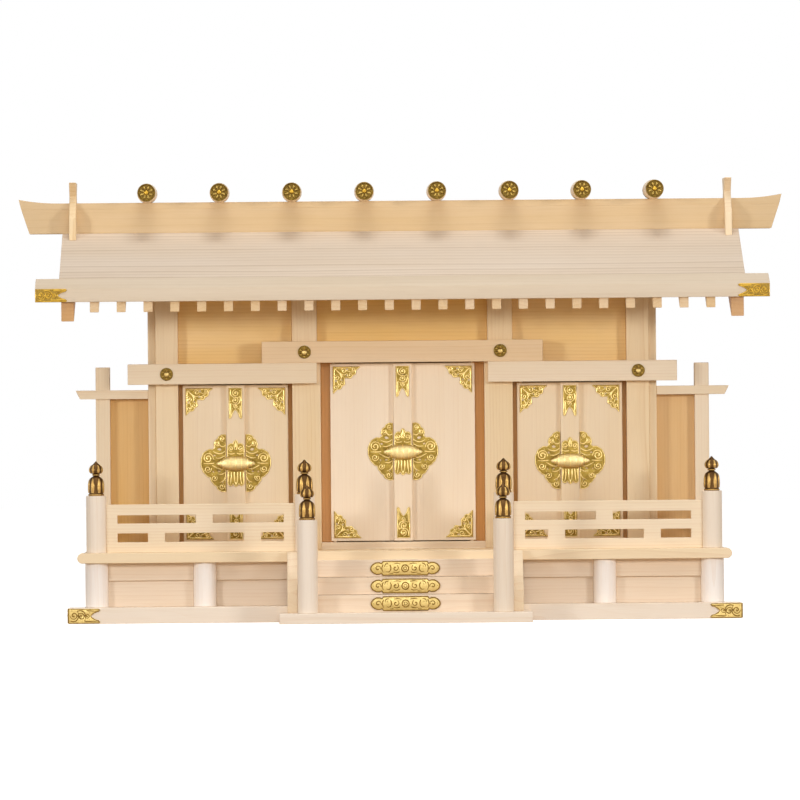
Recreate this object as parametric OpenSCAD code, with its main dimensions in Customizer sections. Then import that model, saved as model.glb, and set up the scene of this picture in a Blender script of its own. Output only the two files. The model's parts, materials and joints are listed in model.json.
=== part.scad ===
// Household shrine: three bays under one through roof, on a railed floor with front stairs.
// Millimetres, +Z up, front towards -Y, origin under the middle of the overall box.

/* [Base and platform] */
// How far the front edge of the base board runs past the corner posts at each end
base_over = 22; // [18:0.5:34]
// Depth of the front edge of the base board, where it is longer
base_edge_d = 20; // [16:0.5:26]
// How far the base and floor boards run past the posts behind their front edges
side_over = 1; // [0.5:0.5:4]
// How far the base board runs on behind the back wall
base_rear_over = 9; // [7:0.5:24]
// Thickness of the base board
base_t = 12.5; // [9:0.5:16]
// Width of the platform under the stairs
platform_w = 199; // [190:1:230]
// How far the platform stands out in front of the base board
platform_d = 44; // [42:1:60]
// Thickness of the platform
platform_t = 8; // [6:0.5:10]
// Length of a brass base corner along the front
base_plate_l = 25; // [16:1:34]

/* [Floor and posts] */
// Height of the round posts between base and floor
floor_post_h = 35; // [28:1:45]
// Diameter of the round posts between base and floor
floor_post_dia = 18.2; // [12:0.1:20]
// Distance of the intermediate front posts from the middle
mid_post_x = 158.5; // [148:0.5:172]
// Thickness of the beams between the posts
floor_beam_t = 8; // [6:0.5:11]
// Height of the beams between the posts
floor_beam_h = 14.2; // [8:0.2:20]
// Outer faces of the beams outside the post line
floor_beam_out = 2; // [0:0.5:4]
// Skirt panels behind the faces of the beams
skirt_in = 2.5; // [1:0.5:3]
// Thickness of the skirt panels under the beams
skirt_t = 4; // [3:0.5:4.5]
// How far the front edge of the floor board runs past the corner posts at each end
floor_over = 15; // [12:0.5:20]
// Depth of the front edge of the floor board, where it is longer
floor_edge_d = 18; // [14:0.5:24]
// Thickness of the floor board
floor_t = 8; // [5:0.5:12]
// Floor front edge behind the base front edge
floor_setback = 6; // [4:0.5:10]
// Floor rear edge in front of the base rear edge
floor_rear_setback = 4; // [2:0.5:8]
// Post and railing line behind the floor edge
post_setback = 12; // [10:0.5:16]

/* [Railing and newels] */
// Diameter of the newel posts
newel_dia = 16; // [12:0.5:18]
// Height of the newels that stand on the floor
newel_h = 45.3; // [40:0.1:60]
// Height of the two newels at the foot of the stairs
foot_newel_h = 73.4; // [60:0.2:90]
// Distance of the newels at the head of the stairs from the middle
stair_newel_x = 78.9; // [75:0.1:84]
// Distance of the newels at the foot of the stairs from the middle
foot_newel_x = 77; // [74:0.1:84]
// Foot newel axis behind the platform front edge
foot_newel_in = 12; // [10:0.5:13]
// Height of a brass newel cap
finial_h = 27.4; // [22:0.2:32]
// Diameter of a brass newel cap
finial_dia = 12.2; // [10:0.2:15]
// Thickness of the railing panels
rail_t = 5; // [3:0.5:8]
// Height of the bottom rail
bottom_rail_h = 8.3; // [6:0.1:10]
// Height of the gap over the bottom rail
lower_gap_h = 7.1; // [5:0.1:9]
// Height of the middle rail
mid_rail_h = 7.7; // [5:0.1:9]
// Height of the gap under the top rail
upper_gap_h = 6.6; // [5:0.1:9]
// Height of the top rail
top_rail_h = 8.5; // [6:0.1:10]
// Width of the stile beside each newel
stile_w = 8.8; // [6:0.2:12]
// Width of the short struts between the rails
strut_w = 13.6; // [8:0.2:18]
// Lower struts to each side of the upper strut
strut_shift = 38; // [30:1:42]

/* [Stairs] */
// First riser behind the platform front edge
stair_front_in = 22; // [21.5:0.5:26]
// Width of the steps between the cheek boards
stair_w = 170; // [160:1:180]
// Thickness of the cheek boards
cheek_t = 8; // [5:0.5:9]
// Length of the brass plate on each riser
step_plate_l = 55; // [30:1:90]
// Height of the brass plate on each riser
step_plate_h = 11.4; // [6:0.2:12]

/* [Hall] */
// Clear depth from the railing line to the pillar faces
veranda_d = 49; // [49:1:60]
// Depth of the hall, pillar face to outer face of the back wall
hall_d = 82; // [74:1:85]
// Height of the pillars
pillar_h = 205.7; // [195:0.5:225]
// Middle of the two centre pillars from the middle
centre_pillar_x = 78.2; // [72:0.2:84]
// Side of a centre pillar
centre_pillar_w = 20; // [15:0.5:22]
// Middle of the two outer pillars from the middle
outer_pillar_x = 188.4; // [182:0.2:194]
// Thickness of the lining on the inner face of a centre pillar
lining_t = 2.7; // [1.5:0.1:4]
// Side of an outer pillar
outer_pillar_w = 18.1; // [14:0.1:20]
// Thickness of the side and back walls
wall_t = 6; // [4:0.5:9]
// Front edge of the side walls behind the pillar faces
wall_setback = 4; // [2:0.5:7]
// Thickness of the wall panels over the doors
upper_wall_t = 4; // [3:0.5:6]
// Face of the panels over the doors behind the pillar faces
upper_wall_setback = 7; // [4:0.5:10]
// Thickness of the floor inside the hall
hall_floor_t = 4; // [3:0.5:5]
// Thickness of the beams across the pillar faces
beam_t = 8; // [6:0.5:10]
// Height of the beams over the side doors
side_beam_h = 16.4; // [12:0.2:20]
// How far a side beam runs on past the side wall
side_beam_out = 16; // [8:1:24]
// Height of the beam over the centre doors
centre_beam_h = 17.2; // [12:0.2:22]
// How far the beam over the centre doors runs on past the centre pillars
centre_beam_out = 24.1; // [10:0.1:40]
// Diameter of the round nail covers on the beams
nail_cover_dia = 11; // [7:0.5:12]
// Height of the wall plates under the rafters, at their outer face
plate_h = 14; // [10:0.5:18]
// Depth of the wall plates
plate_d = 14; // [10:0.5:18]

/* [Doors] */
// Height of the sill under the doors
sill_h = 5.6; // [5.2:0.2:9]
// Depth of the sill and of the heads over the doors
sill_d = 18; // [16:0.5:19]
// Height of the side door leaves
side_leaf_h = 125.5; // [110:0.5:135]
// Thickness of a door leaf
leaf_t = 5; // [4:0.5:6]
// Face of the leaves behind the pillar faces
door_setback = 4; // [3:0.5:6]
// Space over and under a leaf
leaf_gap = 0.9; // [0.8:0.1:2]
// Space between a side leaf and its pillar
side_leaf_inset = 3.5; // [2:0.1:5]
// Space between a centre leaf and the lining of its pillar
centre_leaf_inset = 7.7; // [5:0.1:14]
// Space between the two leaves of a pair
meeting_gap = 0.6; // [0.4:0.1:1.2]
// Thickness of the jambs that close the space beside each leaf
jamb_t = 5; // [3:0.5:6]
// Jambs behind the back of the leaves
jamb_clear = 2.5; // [2.2:0.1:3]
// How far a jamb laps behind its leaf
jamb_lap = 2; // [1:0.5:3]
// Pivot axis in from the outer edge of a leaf
pivot_in = 3; // [2.5:0.1:4]
// Diameter of the pivot pins
pivot_dia = 3; // [2:0.1:3.6]
// Depth of a pivot pin in its hole
pivot_l = 4; // [2:0.5:4.5]
// Radial clearance of a pivot pin in its hole
pivot_clear = 0.08; // [0.03:0.01:0.1]
// Width of the strip that covers the meeting edges
strip_w = 14.5; // [8:0.5:18]
// Thickness of the strip that covers the meeting edges
strip_t = 3.4; // [1.2:0.2:3.6]
// Space between the strip and the leaf that it laps
strip_clear = 0.3; // [0.2:0.1:0.6]

/* [Door fittings] */
// Thickness of the stamped brass
brass_t = 0.8; // [0.5:0.1:1.2]
// Leg of a triangular corner plate
corner_leg = 22; // [14:0.2:26]
// Corner plate in from the edges of the leaf
corner_in = 2.2; // [0.6:0.2:3]
// Width of the straps on the meeting strip
strap_w = 10.7; // [6:0.1:12]
// Length of the straps on the meeting strip
strap_l = 25; // [14:0.5:32]
// Overall width of the lock ornament
lock_w = 57; // [48:1:64]
// Overall height of the lock ornament
lock_h = 47; // [40:1:54]
// Length of the raised lock bar
lock_bar_l = 32; // [20:1:40]
// Height of the raised lock bar
lock_bar_h = 11; // [7:0.5:14]
// Projection of the raised lock bar
lock_bar_t = 4; // [2:0.5:5]

/* [Wing screens] */
// Wing post front face behind the pillar faces
wing_setback = 7; // [5:0.5:12]
// Width of the wing posts
wing_post_w = 11.4; // [9:0.2:14]
// Width of the wing panels between the side wall and the post
wing_panel_w = 30.7; // [20:0.1:45]
// Wing post middle in from the corner newels
wing_in = 4.2; // [2:0.2:4.6]
// Height of the wing posts
wing_post_h = 147; // [135:1:160]
// Height of the wing panels, up to the cap
wing_panel_h = 121.6; // [105:0.2:130]
// Thickness of the wing panels
wing_panel_t = 4; // [3:0.5:5]
// Face of the wing panels behind the post faces
wing_panel_in = 6; // [2:0.5:6.5]
// Height of the wing caps
wing_cap_h = 7; // [5:0.5:10]
// Depth of the wing caps
wing_cap_d = 16; // [15:0.5:20]
// How far a wing cap runs on past its post
wing_cap_out = 16; // [8:1:22]
// How much the underside of a wing cap is shorter than its top
wing_cap_slant = 3.5; // [1:0.5:6]

/* [Roof] */
// Pitch of both roof slopes
roof_pitch = 24.6; // [20:0.2:30]
// Front eave in front of the pillar faces
eave_out = 66; // [60:1:68]
// Rear eave behind the back wall
rear_eave_out = 26; // [22:1:40]
// Ridge line behind the pillar faces
ridge_back = 41; // [36:0.5:46]
// How far the roof slopes run past the side walls at each end
roof_over = 68.5; // [58:0.5:80]
// Thickness of the roof slopes
deck_t = 10; // [7:0.2:13]
// How far the eave boards run past the roof slopes at each end
eave_over = 18.5; // [10:0.5:30]
// Depth of the eave boards along the level
eave_board_d = 17.5; // [12:0.5:22]
// Height of a rafter, square to its slope
rafter_h = 8.3; // [6:0.1:11]
// Width of a rafter
rafter_w = 7.1; // [5:0.1:9]
// Number of rafters on each slope
rafter_count = 24; // [16:2:26]
// Rafter ends behind the eave edge
rafter_in = 2; // [1:0.5:6]
// Thickness of the gable boards
gable_t = 10; // [6:0.5:12]
// Gable boards in from the ends of the roof slopes
gable_in = 2; // [1:0.5:6]
// Height of a gable board at the eave
gable_eave_h = 17; // [11:0.5:20]
// Height of a gable board at the ridge
gable_ridge_h = 22; // [16:0.5:30]
// Ends of the gable boards behind the eave edge
gable_end_in = 4; // [2:0.5:8]
// Thickness of the ridge purlin
purlin_t = 12; // [8:0.5:16]
// Height of the ridge purlin below the rafters
purlin_drop = 5; // [3:0.5:10]
// Length of the brass plate on each end of the front eave board
eave_plate_l = 25; // [16:1:34]

/* [Ridge] */
// How far the top of the ridge runs past the roof slopes at each end
ridge_over = 35; // [28:0.5:46]
// How much shorter the ridge is along its underside, at each end
ridge_slant = 8.5; // [4:0.5:14]
// Height of the ridge over the peak of the roof
ridge_rise = 20.6; // [16:0.2:28]
// Depth of the ridge beam and cap
ridge_d = 17; // [12:0.5:18]
// Thickness of the ridge cap
ridge_cap_t = 5.1; // [3:0.1:8]
// Upward flare of the ridge cap at its ends
ridge_flare = 3.2; // [0.5:0.1:6]
// Length of the flare at each end
ridge_flare_l = 32; // [15:1:34]
// Number of logs along the ridge
log_count = 8; // [4:2:8]
// Spacing of the logs along the ridge
log_pitch = 58.2; // [50:0.2:60]
// Diameter of a log at its middle
log_dia = 16; // [10:0.5:19]
// Diameter of a log at its ends
log_end_dia = 14; // [9:0.5:15]
// Length of a log
log_l = 60; // [40:1:70]
// Depth of the flat that a log sits on
log_seat = 0.5; // [0.3:0.1:1]
// Diameter of the brass caps on the log fronts
log_cap_dia = 14.4; // [9:0.2:16]
// Thickness of the brass caps on the log fronts
log_cap_t = 1.8; // [1:0.1:3]
// Forked finials in from the ends of the roof slopes
fork_in = 8.6; // [5:0.2:20]
// Thickness of the forked finials
fork_t = 5.5; // [4:0.5:8]
// Width of the boards of a forked finial
fork_w = 12; // [11:0.5:13]
// Lean of the boards of a forked finial from level
fork_angle = 52; // [48:1:58]
// Crossing of the fork over the top of the ridge
fork_cross = 5; // [4:0.1:8]
// Upright feet of the fork in front of and behind the ridge line
fork_foot = 21; // [20:0.5:30]
// Tips of the fork over the top of the ridge
fork_rise = 16.5; // [12:0.1:26]

/* [Hidden] */
$fn = 48;

wood = "#f0d7ae";
shade_wood = "#e2bf8c";
brass = "#c9a23f";
bronze = "#8a6a2c";

// Levels
floor_z = base_t + floor_post_h;
floor_top = floor_z + floor_t;
sill_top = floor_top + sill_h;
leaf_z = sill_top + leaf_gap;
side_head_z = leaf_z + side_leaf_h + leaf_gap;
side_beam_top = side_head_z + side_beam_h;
centre_beam_top = side_beam_top + centre_beam_h;
centre_leaf_h = side_beam_top - leaf_gap - leaf_z;
pillar_top = floor_top + pillar_h;
seat_z = pillar_top + plate_h;

// Lines across the depth, counted from the front edge of the platform
railing_in = platform_d + floor_setback + post_setback;
pillar_in = railing_in + veranda_d;
overall_d = pillar_in + hall_d + max(rear_eave_out, base_rear_over);
front_y = -overall_d / 2;
base_y = front_y + platform_d;
base_back_y = front_y + pillar_in + hall_d + base_rear_over;
floor_y = base_y + floor_setback;
floor_back_y = base_back_y - floor_rear_setback;
railing_y = front_y + railing_in;
rear_post_y = floor_back_y - post_setback;
foot_newel_y = front_y + foot_newel_in;
stair_y = front_y + stair_front_in;
pillar_y = front_y + pillar_in;
back_y = pillar_y + hall_d;
wing_y = pillar_y + wing_setback;
door_y = pillar_y + door_setback;
pivot_y = door_y + leaf_t / 2;
ridge_y = pillar_y + ridge_back;
eave_y = pillar_y - eave_out;
rear_eave_y = back_y + rear_eave_out;

// Lines across the width
newel_r = newel_dia / 2;
wall_x = outer_pillar_x + outer_pillar_w / 2;
wall_outer_x = wall_x + wall_t;
centre_pillar_in = centre_pillar_x - centre_pillar_w / 2;
centre_clear = centre_pillar_in - lining_t;
side_clear_in = centre_pillar_x + centre_pillar_w / 2;
side_clear_out = outer_pillar_x - outer_pillar_w / 2;
side_bay_x = (side_clear_in + side_clear_out) / 2;
side_leaf_half = (side_clear_out - side_clear_in) / 2 - side_leaf_inset;
centre_leaf_half = centre_clear - centre_leaf_inset;
wing_x = wall_outer_x + wing_panel_w + wing_post_w / 2;
corner_x = wing_x + wing_in;
side_half = corner_x + floor_post_dia / 2 + side_over;
base_w = 2 * (corner_x + base_over);
floor_w = 2 * (corner_x + floor_over);
roof_w = 2 * (wall_outer_x + roof_over);
eave_half = roof_w / 2 + eave_over;
ridge_w = roof_w + 2 * ridge_over;
fork_x = roof_w / 2 - fork_in;
wing_cap_z = floor_top + wing_panel_h;
cheek_x = stair_w / 2;
pivot_r = pivot_dia / 2;

// Stairs: three whole rises, then half a rise up to the floor
step_count = 3;
stair_rise = (floor_top - platform_t) / (step_count + 0.5);
stair_tread = (floor_y - stair_y) / step_count;
step_gap = 0.25;

// Roof lines
rafter_v = rafter_h / cos(roof_pitch);
deck_v = deck_t / cos(roof_pitch);
peak_under = seat_z + ridge_back * tan(roof_pitch);
peak_top = peak_under + rafter_v + deck_v;
ridge_top = peak_top + ridge_rise;
ridge_cap_z = ridge_top - ridge_cap_t;
ridge_low_half = ridge_w / 2 - ridge_slant;
ridge_cap_half = ridge_w / 2 - ridge_slant * ridge_cap_t / ridge_rise;
gable_outer = roof_w / 2 - gable_in;
gable_inner = gable_outer - gable_t;
rafter_pitch = (gable_outer + gable_inner) / (rafter_count + 1);
purlin_y = ridge_y - purlin_t / 2;
purlin_back_y = ridge_y + purlin_t / 2;

// Height of the rafter undersides at a line across the depth
function rafter_under(y) = peak_under - abs(y - ridge_y) * tan(roof_pitch);
function deck_under(y) = rafter_under(y) + rafter_v;
function deck_top(y) = deck_under(y) + deck_v;

// How far a cutting shape runs past what it cuts
cut = 1;

// A block given by its two corners
module block(x0, x1, y0, y1, z0, z1) {
    translate([x0, y0, z0]) cube([x1 - x0, y1 - y0, z1 - z0]);
}

// The same piece on the right and on the left
module both_sides() {
    children();
    mirror([1, 0, 0]) children();
}

// A profile drawn as (y, z), extruded along X
module along_x(x0, x1) {
    translate([x0, 0, 0]) rotate([90, 0, 90]) linear_extrude(x1 - x0) children();
}

// A profile drawn as (x, z), extruded from y0 back to y1
module along_y(y0, y1) {
    translate([0, y1, 0]) rotate([90, 0, 0]) linear_extrude(y1 - y0) children();
}

// A stamped plate drawn as (x, z), standing on the face at y
module plate_on(y, t = brass_t) {
    along_y(y - t, y) children();
}

// The front edge runs on at both ends like a sill
module base_board() {
    color(wood) {
        block(-base_w / 2, base_w / 2, base_y, base_y + base_edge_d, 0, base_t);
        block(-side_half, side_half, base_y + base_edge_d, base_back_y, 0, base_t);
    }
}

module front_platform() {
    color(wood) block(-platform_w / 2, platform_w / 2, front_y, base_y, 0, platform_t);
}

// A plate along X from 0 to l with a swallow-tail end, h high
module tail_plate(l, h) {
    difference() {
        square([l, h]);
        translate([l, h / 2]) circle(d = h * 0.62);
    }
}

module base_corner_plates() {
    plate_z = 0.4;
    plate_h_here = base_t - 2 * plate_z;
    color(brass) both_sides() {
        plate_on(base_y)
            translate([base_w / 2, plate_z]) mirror([1, 0]) tail_plate(base_plate_l, plate_h_here);
        along_x(base_w / 2, base_w / 2 + brass_t)
            translate([base_y - brass_t, plate_z]) tail_plate(base_edge_d, plate_h_here);
    }
}

// Places of all the round posts under the floor
module at_floor_posts() {
    for (x = [-corner_x, -mid_post_x, mid_post_x, corner_x])
        translate([x, railing_y, base_t]) children();
    for (x = [-corner_x, corner_x])
        translate([x, rear_post_y, base_t]) children();
}

module floor_posts() {
    color(wood) at_floor_posts() cylinder(d = floor_post_dia, h = floor_post_h);
}

// A ring of boards t thick, its outer faces at a distance from the post line, cut at the posts
module post_line_ring(out, t, z0, z1) {
    inner = t - out;
    difference() {
        block(-corner_x - out, corner_x + out, railing_y - out, rear_post_y + out, z0, z1);
        block(-corner_x + inner, corner_x - inner, railing_y + inner, rear_post_y - inner,
            z0 - cut, z1 + cut);
        at_floor_posts() cylinder(d = floor_post_dia, h = floor_post_h);
    }
}

module floor_beams() {
    color(shade_wood) post_line_ring(floor_beam_out, floor_beam_t, floor_z - floor_beam_h, floor_z);
}

module skirt_panels() {
    color(shade_wood) post_line_ring(floor_beam_out - skirt_in, skirt_t, base_t, floor_z - floor_beam_h);
}

// The front edge of the floor runs on at both ends, where it is rounded over
module veranda_floor() {
    nose_x = floor_w / 2 - floor_t / 2;
    color(wood) {
        along_y(floor_y, floor_y + floor_edge_d) {
            translate([-nose_x, floor_z]) square([2 * nose_x, floor_t]);
            for (x = [-nose_x, nose_x]) translate([x, floor_z + floor_t / 2]) circle(d = floor_t);
        }
        block(-side_half, side_half, floor_y + floor_edge_d, floor_back_y, floor_z, floor_top);
    }
}

// Levels of the railing, counted from the floor
lower_gap_z = bottom_rail_h;
mid_rail_z = lower_gap_z + lower_gap_h;
upper_gap_z = mid_rail_z + mid_rail_h;
top_rail_z = upper_gap_z + upper_gap_h;
railing_h = top_rail_z + top_rail_h;

// Fretted panel from u0 to u1, open between its two stiles but for the struts
module railing_panel(u0, u1, open0, open1, upper_struts, lower_struts) {
    difference() {
        translate([u0, floor_top]) square([u1 - u0, railing_h]);
        difference() {
            translate([open0, floor_top + lower_gap_z]) square([open1 - open0, lower_gap_h]);
            for (u = lower_struts)
                translate([u - strut_w / 2, floor_top]) square([strut_w, railing_h]);
        }
        difference() {
            translate([open0, floor_top + upper_gap_z]) square([open1 - open0, upper_gap_h]);
            for (u = upper_struts)
                translate([u - strut_w / 2, floor_top]) square([strut_w, railing_h]);
        }
    }
}

// Places of the newels that stand on the floor
module at_floor_newels() {
    for (x = [-corner_x, -stair_newel_x, stair_newel_x, corner_x])
        translate([x, railing_y, floor_top]) children();
}

module at_foot_newels() {
    for (x = [-foot_newel_x, foot_newel_x])
        translate([x, foot_newel_y, platform_t]) children();
}

module front_railings() {
    open0 = stair_newel_x + newel_r + stile_w;
    open1 = corner_x - newel_r - stile_w;
    color(wood) difference() {
        both_sides() along_y(railing_y - rail_t / 2, railing_y + rail_t / 2)
            railing_panel(stair_newel_x, corner_x, open0, open1,
                [mid_post_x], [mid_post_x - strut_shift, mid_post_x + strut_shift]);
        at_floor_newels() cylinder(d = newel_dia, h = newel_h);
    }
}

module side_railings() {
    open0 = railing_y + newel_r + stile_w;
    open1 = wing_y - stile_w;
    color(wood) difference() {
        both_sides() along_x(corner_x - rail_t / 2, corner_x + rail_t / 2)
            railing_panel(railing_y, wing_y, open0, open1, [], [(open0 + open1) / 2]);
        at_floor_newels() cylinder(d = newel_dia, h = newel_h);
    }
}

module newel_posts() {
    color(wood) {
        at_floor_newels() cylinder(d = newel_dia, h = newel_h);
        at_foot_newels() cylinder(d = newel_dia, h = foot_newel_h);
    }
}

// Onion-shaped newel cap: socket with a rounded shoulder, neck, bulb and point
module finial() {
    socket_h = finial_h * 0.5;
    shoulder_r = finial_dia * 0.22;
    neck_r = finial_dia * 0.2;
    bulb_r = finial_dia * 0.39;
    bulb_z = finial_h * 0.79;
    rotate_extrude() {
        square([finial_dia / 2, socket_h]);
        square([finial_dia / 2 - shoulder_r, socket_h + shoulder_r]);
        translate([finial_dia / 2 - shoulder_r, socket_h])
            intersection() {
                circle(r = shoulder_r);
                square(shoulder_r);
            }
        square([neck_r, bulb_z]);
        intersection() {
            translate([0, bulb_z]) circle(r = bulb_r);
            translate([0, bulb_z - bulb_r]) square([bulb_r, 2 * bulb_r]);
        }
        polygon([[0, bulb_z], [bulb_r * 0.72, bulb_z + bulb_r * 0.69], [0.4, finial_h], [0, finial_h]]);
    }
}

module newel_finials() {
    color(bronze) {
        at_floor_newels() translate([0, 0, newel_h]) finial();
        at_foot_newels() translate([0, 0, foot_newel_h]) finial();
    }
}

// Each step is a board of one rise, housed between the cheeks
module stair_steps() {
    color(wood) for (i = [0 : step_count - 1]) {
        back = i == 0 ? base_y : floor_y;
        gap = i == 0 ? 0 : step_gap;
        block(-cheek_x, cheek_x, stair_y + i * stair_tread, back,
            platform_t + i * stair_rise + gap, platform_t + (i + 1) * stair_rise);
    }
}

module stair_cheeks() {
    lip = 3;
    landing = 5;
    color(wood) both_sides() along_x(cheek_x, cheek_x + cheek_t)
        polygon([
            [stair_y, platform_t], [base_y, platform_t], [base_y, base_t], [floor_y, base_t],
            [floor_y, floor_top], [floor_y - landing, floor_top],
            [stair_y, platform_t + stair_rise + lip],
        ]);
}

// Brass plate with three lobes at each end
module stair_plate() {
    lobe_r = step_plate_h / 4;
    end_x = step_plate_l / 2 - lobe_r;
    square([2 * end_x, step_plate_h], center = true);
    for (side = [-1, 1]) {
        translate([side * end_x, 0]) circle(r = lobe_r);
        for (z = [-1, 1])
            translate([side * (end_x - lobe_r / 2), z * (step_plate_h / 2 - lobe_r)])
                circle(r = lobe_r);
    }
}

module stair_plates() {
    color(brass) for (i = [0 : step_count - 1])
        plate_on(stair_y + i * stair_tread)
            translate([0, platform_t + (i + 0.5) * stair_rise]) stair_plate();
}

// The centre pillars carry a lining up to the top of the beam
module pillars() {
    color(wood) both_sides() {
        block(side_clear_out, wall_x, pillar_y, pillar_y + outer_pillar_w, floor_top, pillar_top);
        block(centre_pillar_in, side_clear_in, pillar_y, pillar_y + centre_pillar_w,
            floor_top, pillar_top);
        block(centre_clear, centre_pillar_in, pillar_y, pillar_y + sill_d,
            floor_top, centre_beam_top);
    }
}

// Section of the front wall plate: flat underneath, cut to the pitch on top
module front_plate_profile() {
    y1 = pillar_y + plate_d;
    polygon([[pillar_y, pillar_top], [y1, pillar_top], [y1, rafter_under(y1)],
        [pillar_y, rafter_under(pillar_y)]]);
}

rear_plate_z = rafter_under(back_y) - plate_h;

module rear_plate_profile() {
    y0 = back_y - plate_d;
    polygon([[y0, rear_plate_z], [back_y, rear_plate_z], [back_y, rafter_under(back_y)],
        [y0, rafter_under(y0)]]);
}

purlin_z = rafter_under(purlin_y) - purlin_drop;

module purlin_profile() {
    polygon([[purlin_y, purlin_z], [purlin_back_y, purlin_z],
        [purlin_back_y, deck_under(purlin_back_y)], [ridge_y, deck_under(ridge_y)],
        [purlin_y, deck_under(purlin_y)]]);
}

// Gabled side walls, notched for the wall plates and the ridge purlin
module side_walls() {
    y0 = pillar_y + wall_setback;
    color(wood) both_sides() along_x(wall_x, wall_outer_x) difference() {
        polygon([[y0, floor_top], [back_y, floor_top], [back_y, rafter_under(back_y)],
            [ridge_y, rafter_under(ridge_y)], [y0, rafter_under(y0)]]);
        front_plate_profile();
        rear_plate_profile();
        purlin_profile();
    }
}

module back_wall() {
    color(wood) block(-wall_x, wall_x, back_y - wall_t, back_y, floor_top, rear_plate_z);
}

// The clear width of each bay, as [from, to]
bays = [
    [-side_clear_out, -side_clear_in], [-centre_clear, centre_clear],
    [side_clear_in, side_clear_out],
];
bay_middle = [-side_bay_x, 0, side_bay_x];
bay_leaf_half = [side_leaf_half, centre_leaf_half, side_leaf_half];
bay_head_z = [side_head_z, side_beam_top, side_head_z];
bay_head_top = [side_beam_top, centre_beam_top, side_beam_top];

// Pivot axes of one bay, left and right
module at_pivots(bay) {
    for (side = [-1, 1])
        translate([bay_middle[bay] + side * (bay_leaf_half[bay] - pivot_in), pivot_y, 0]) children();
}

module pivot_hole(z0, z1) {
    translate([0, 0, z0]) cylinder(r = pivot_r + pivot_clear, h = z1 - z0);
}

module door_sills() {
    hole_z = sill_top - pivot_l - leaf_gap / 2;
    color(wood) for (bay = [0 : 2]) difference() {
        block(bays[bay][0], bays[bay][1], pillar_y, pillar_y + sill_d, floor_top, sill_top);
        at_pivots(bay) pivot_hole(hole_z, sill_top + cut);
    }
}

module door_heads() {
    color(wood) for (bay = [0 : 2]) difference() {
        block(bays[bay][0], bays[bay][1], pillar_y, pillar_y + sill_d,
            bay_head_z[bay], bay_head_top[bay]);
        at_pivots(bay) pivot_hole(bay_head_z[bay] - cut, bay_head_z[bay] + pivot_l + leaf_gap / 2);
    }
}

module hall_floor() {
    y0 = pillar_y + max(centre_pillar_w, outer_pillar_w, sill_d);
    color(wood) block(-wall_x, wall_x, y0, back_y - wall_t, floor_top, floor_top + hall_floor_t);
}

module side_beams() {
    color(wood) both_sides()
        block(centre_pillar_in, wall_outer_x + side_beam_out, pillar_y - beam_t, pillar_y,
            side_head_z, side_beam_top);
}

module centre_beam() {
    half = side_clear_in + centre_beam_out;
    color(wood) block(-half, half, pillar_y - beam_t, pillar_y, side_beam_top, centre_beam_top);
}

// Domed rosette with a raised middle
module nail_cover() {
    rim_t = 0.9;
    dome_r = nail_cover_dia * 0.36;
    rotate([90, 0, 0]) rotate_extrude() {
        square([nail_cover_dia / 2, rim_t]);
        translate([0, rim_t]) intersection() {
            circle(r = dome_r);
            square([dome_r, dome_r * 0.6]);
        }
    }
}

module nail_covers() {
    color(brass) for (side = [-1, 1]) {
        translate([side * outer_pillar_x, pillar_y - beam_t, side_head_z + side_beam_h / 2])
            nail_cover();
        translate([side * centre_pillar_x, pillar_y - beam_t, side_beam_top + centre_beam_h / 2])
            nail_cover();
    }
}

// The centre panel reaches past the linings to the pillars
module upper_walls() {
    y0 = pillar_y + upper_wall_setback;
    color(shade_wood) for (bay = [0 : 2]) {
        more = bay == 1 ? lining_t : 0;
        block(bays[bay][0] - more, bays[bay][1] + more, y0, y0 + upper_wall_t,
            bay_head_top[bay], pillar_top);
    }
}

// Boards behind the outer edges of the leaves, from sill to head
module door_jambs() {
    y0 = door_y + leaf_t + jamb_clear;
    color(shade_wood) for (bay = [0 : 2]) {
        open_half = bay_leaf_half[bay] - jamb_lap;
        block(bays[bay][0], bay_middle[bay] - open_half, y0, y0 + jamb_t, sill_top, bay_head_z[bay]);
        block(bay_middle[bay] + open_half, bays[bay][1], y0, y0 + jamb_t, sill_top, bay_head_z[bay]);
    }
}

module wall_plates() {
    color(wood) along_x(-gable_inner, gable_inner) {
        front_plate_profile();
        rear_plate_profile();
    }
}

module ridge_purlin() {
    color(wood) along_x(-gable_outer, gable_outer) purlin_profile();
}

// Section of a board that follows the slope, from low to high over the rafter undersides
module slope_profile(y0, y1, low, high) {
    polygon([
        [y0, rafter_under(y0) + low], [y1, rafter_under(y1) + low],
        [y1, rafter_under(y1) + high], [y0, rafter_under(y0) + high],
    ]);
}

module rafters() {
    color(wood) for (i = [0 : rafter_count - 1]) {
        x = (i - (rafter_count - 1) / 2) * rafter_pitch;
        along_x(x - rafter_w / 2, x + rafter_w / 2) {
            slope_profile(eave_y + rafter_in, purlin_y, 0, rafter_v);
            slope_profile(purlin_back_y, rear_eave_y - rafter_in, 0, rafter_v);
        }
    }
}

// Gable board section from its eave end to the purlin, deeper towards the ridge
module gable_profile(y_eave, y_ridge) {
    polygon([
        [y_eave, deck_under(y_eave)], [y_ridge, deck_under(y_ridge)],
        [y_ridge, deck_under(y_ridge) - gable_ridge_h], [y_eave, deck_under(y_eave) - gable_eave_h],
    ]);
}

module gable_boards() {
    color(wood) both_sides() along_x(gable_inner, gable_outer) {
        gable_profile(eave_y + gable_end_in, purlin_y);
        gable_profile(rear_eave_y - gable_end_in, purlin_back_y);
    }
}

module front_roof_slope() {
    color(wood) along_x(-roof_w / 2, roof_w / 2)
        slope_profile(eave_y + eave_board_d, ridge_y, rafter_v, rafter_v + deck_v);
}

module rear_roof_slope() {
    color(wood) along_x(-roof_w / 2, roof_w / 2)
        slope_profile(ridge_y, rear_eave_y - eave_board_d, rafter_v, rafter_v + deck_v);
}

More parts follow.
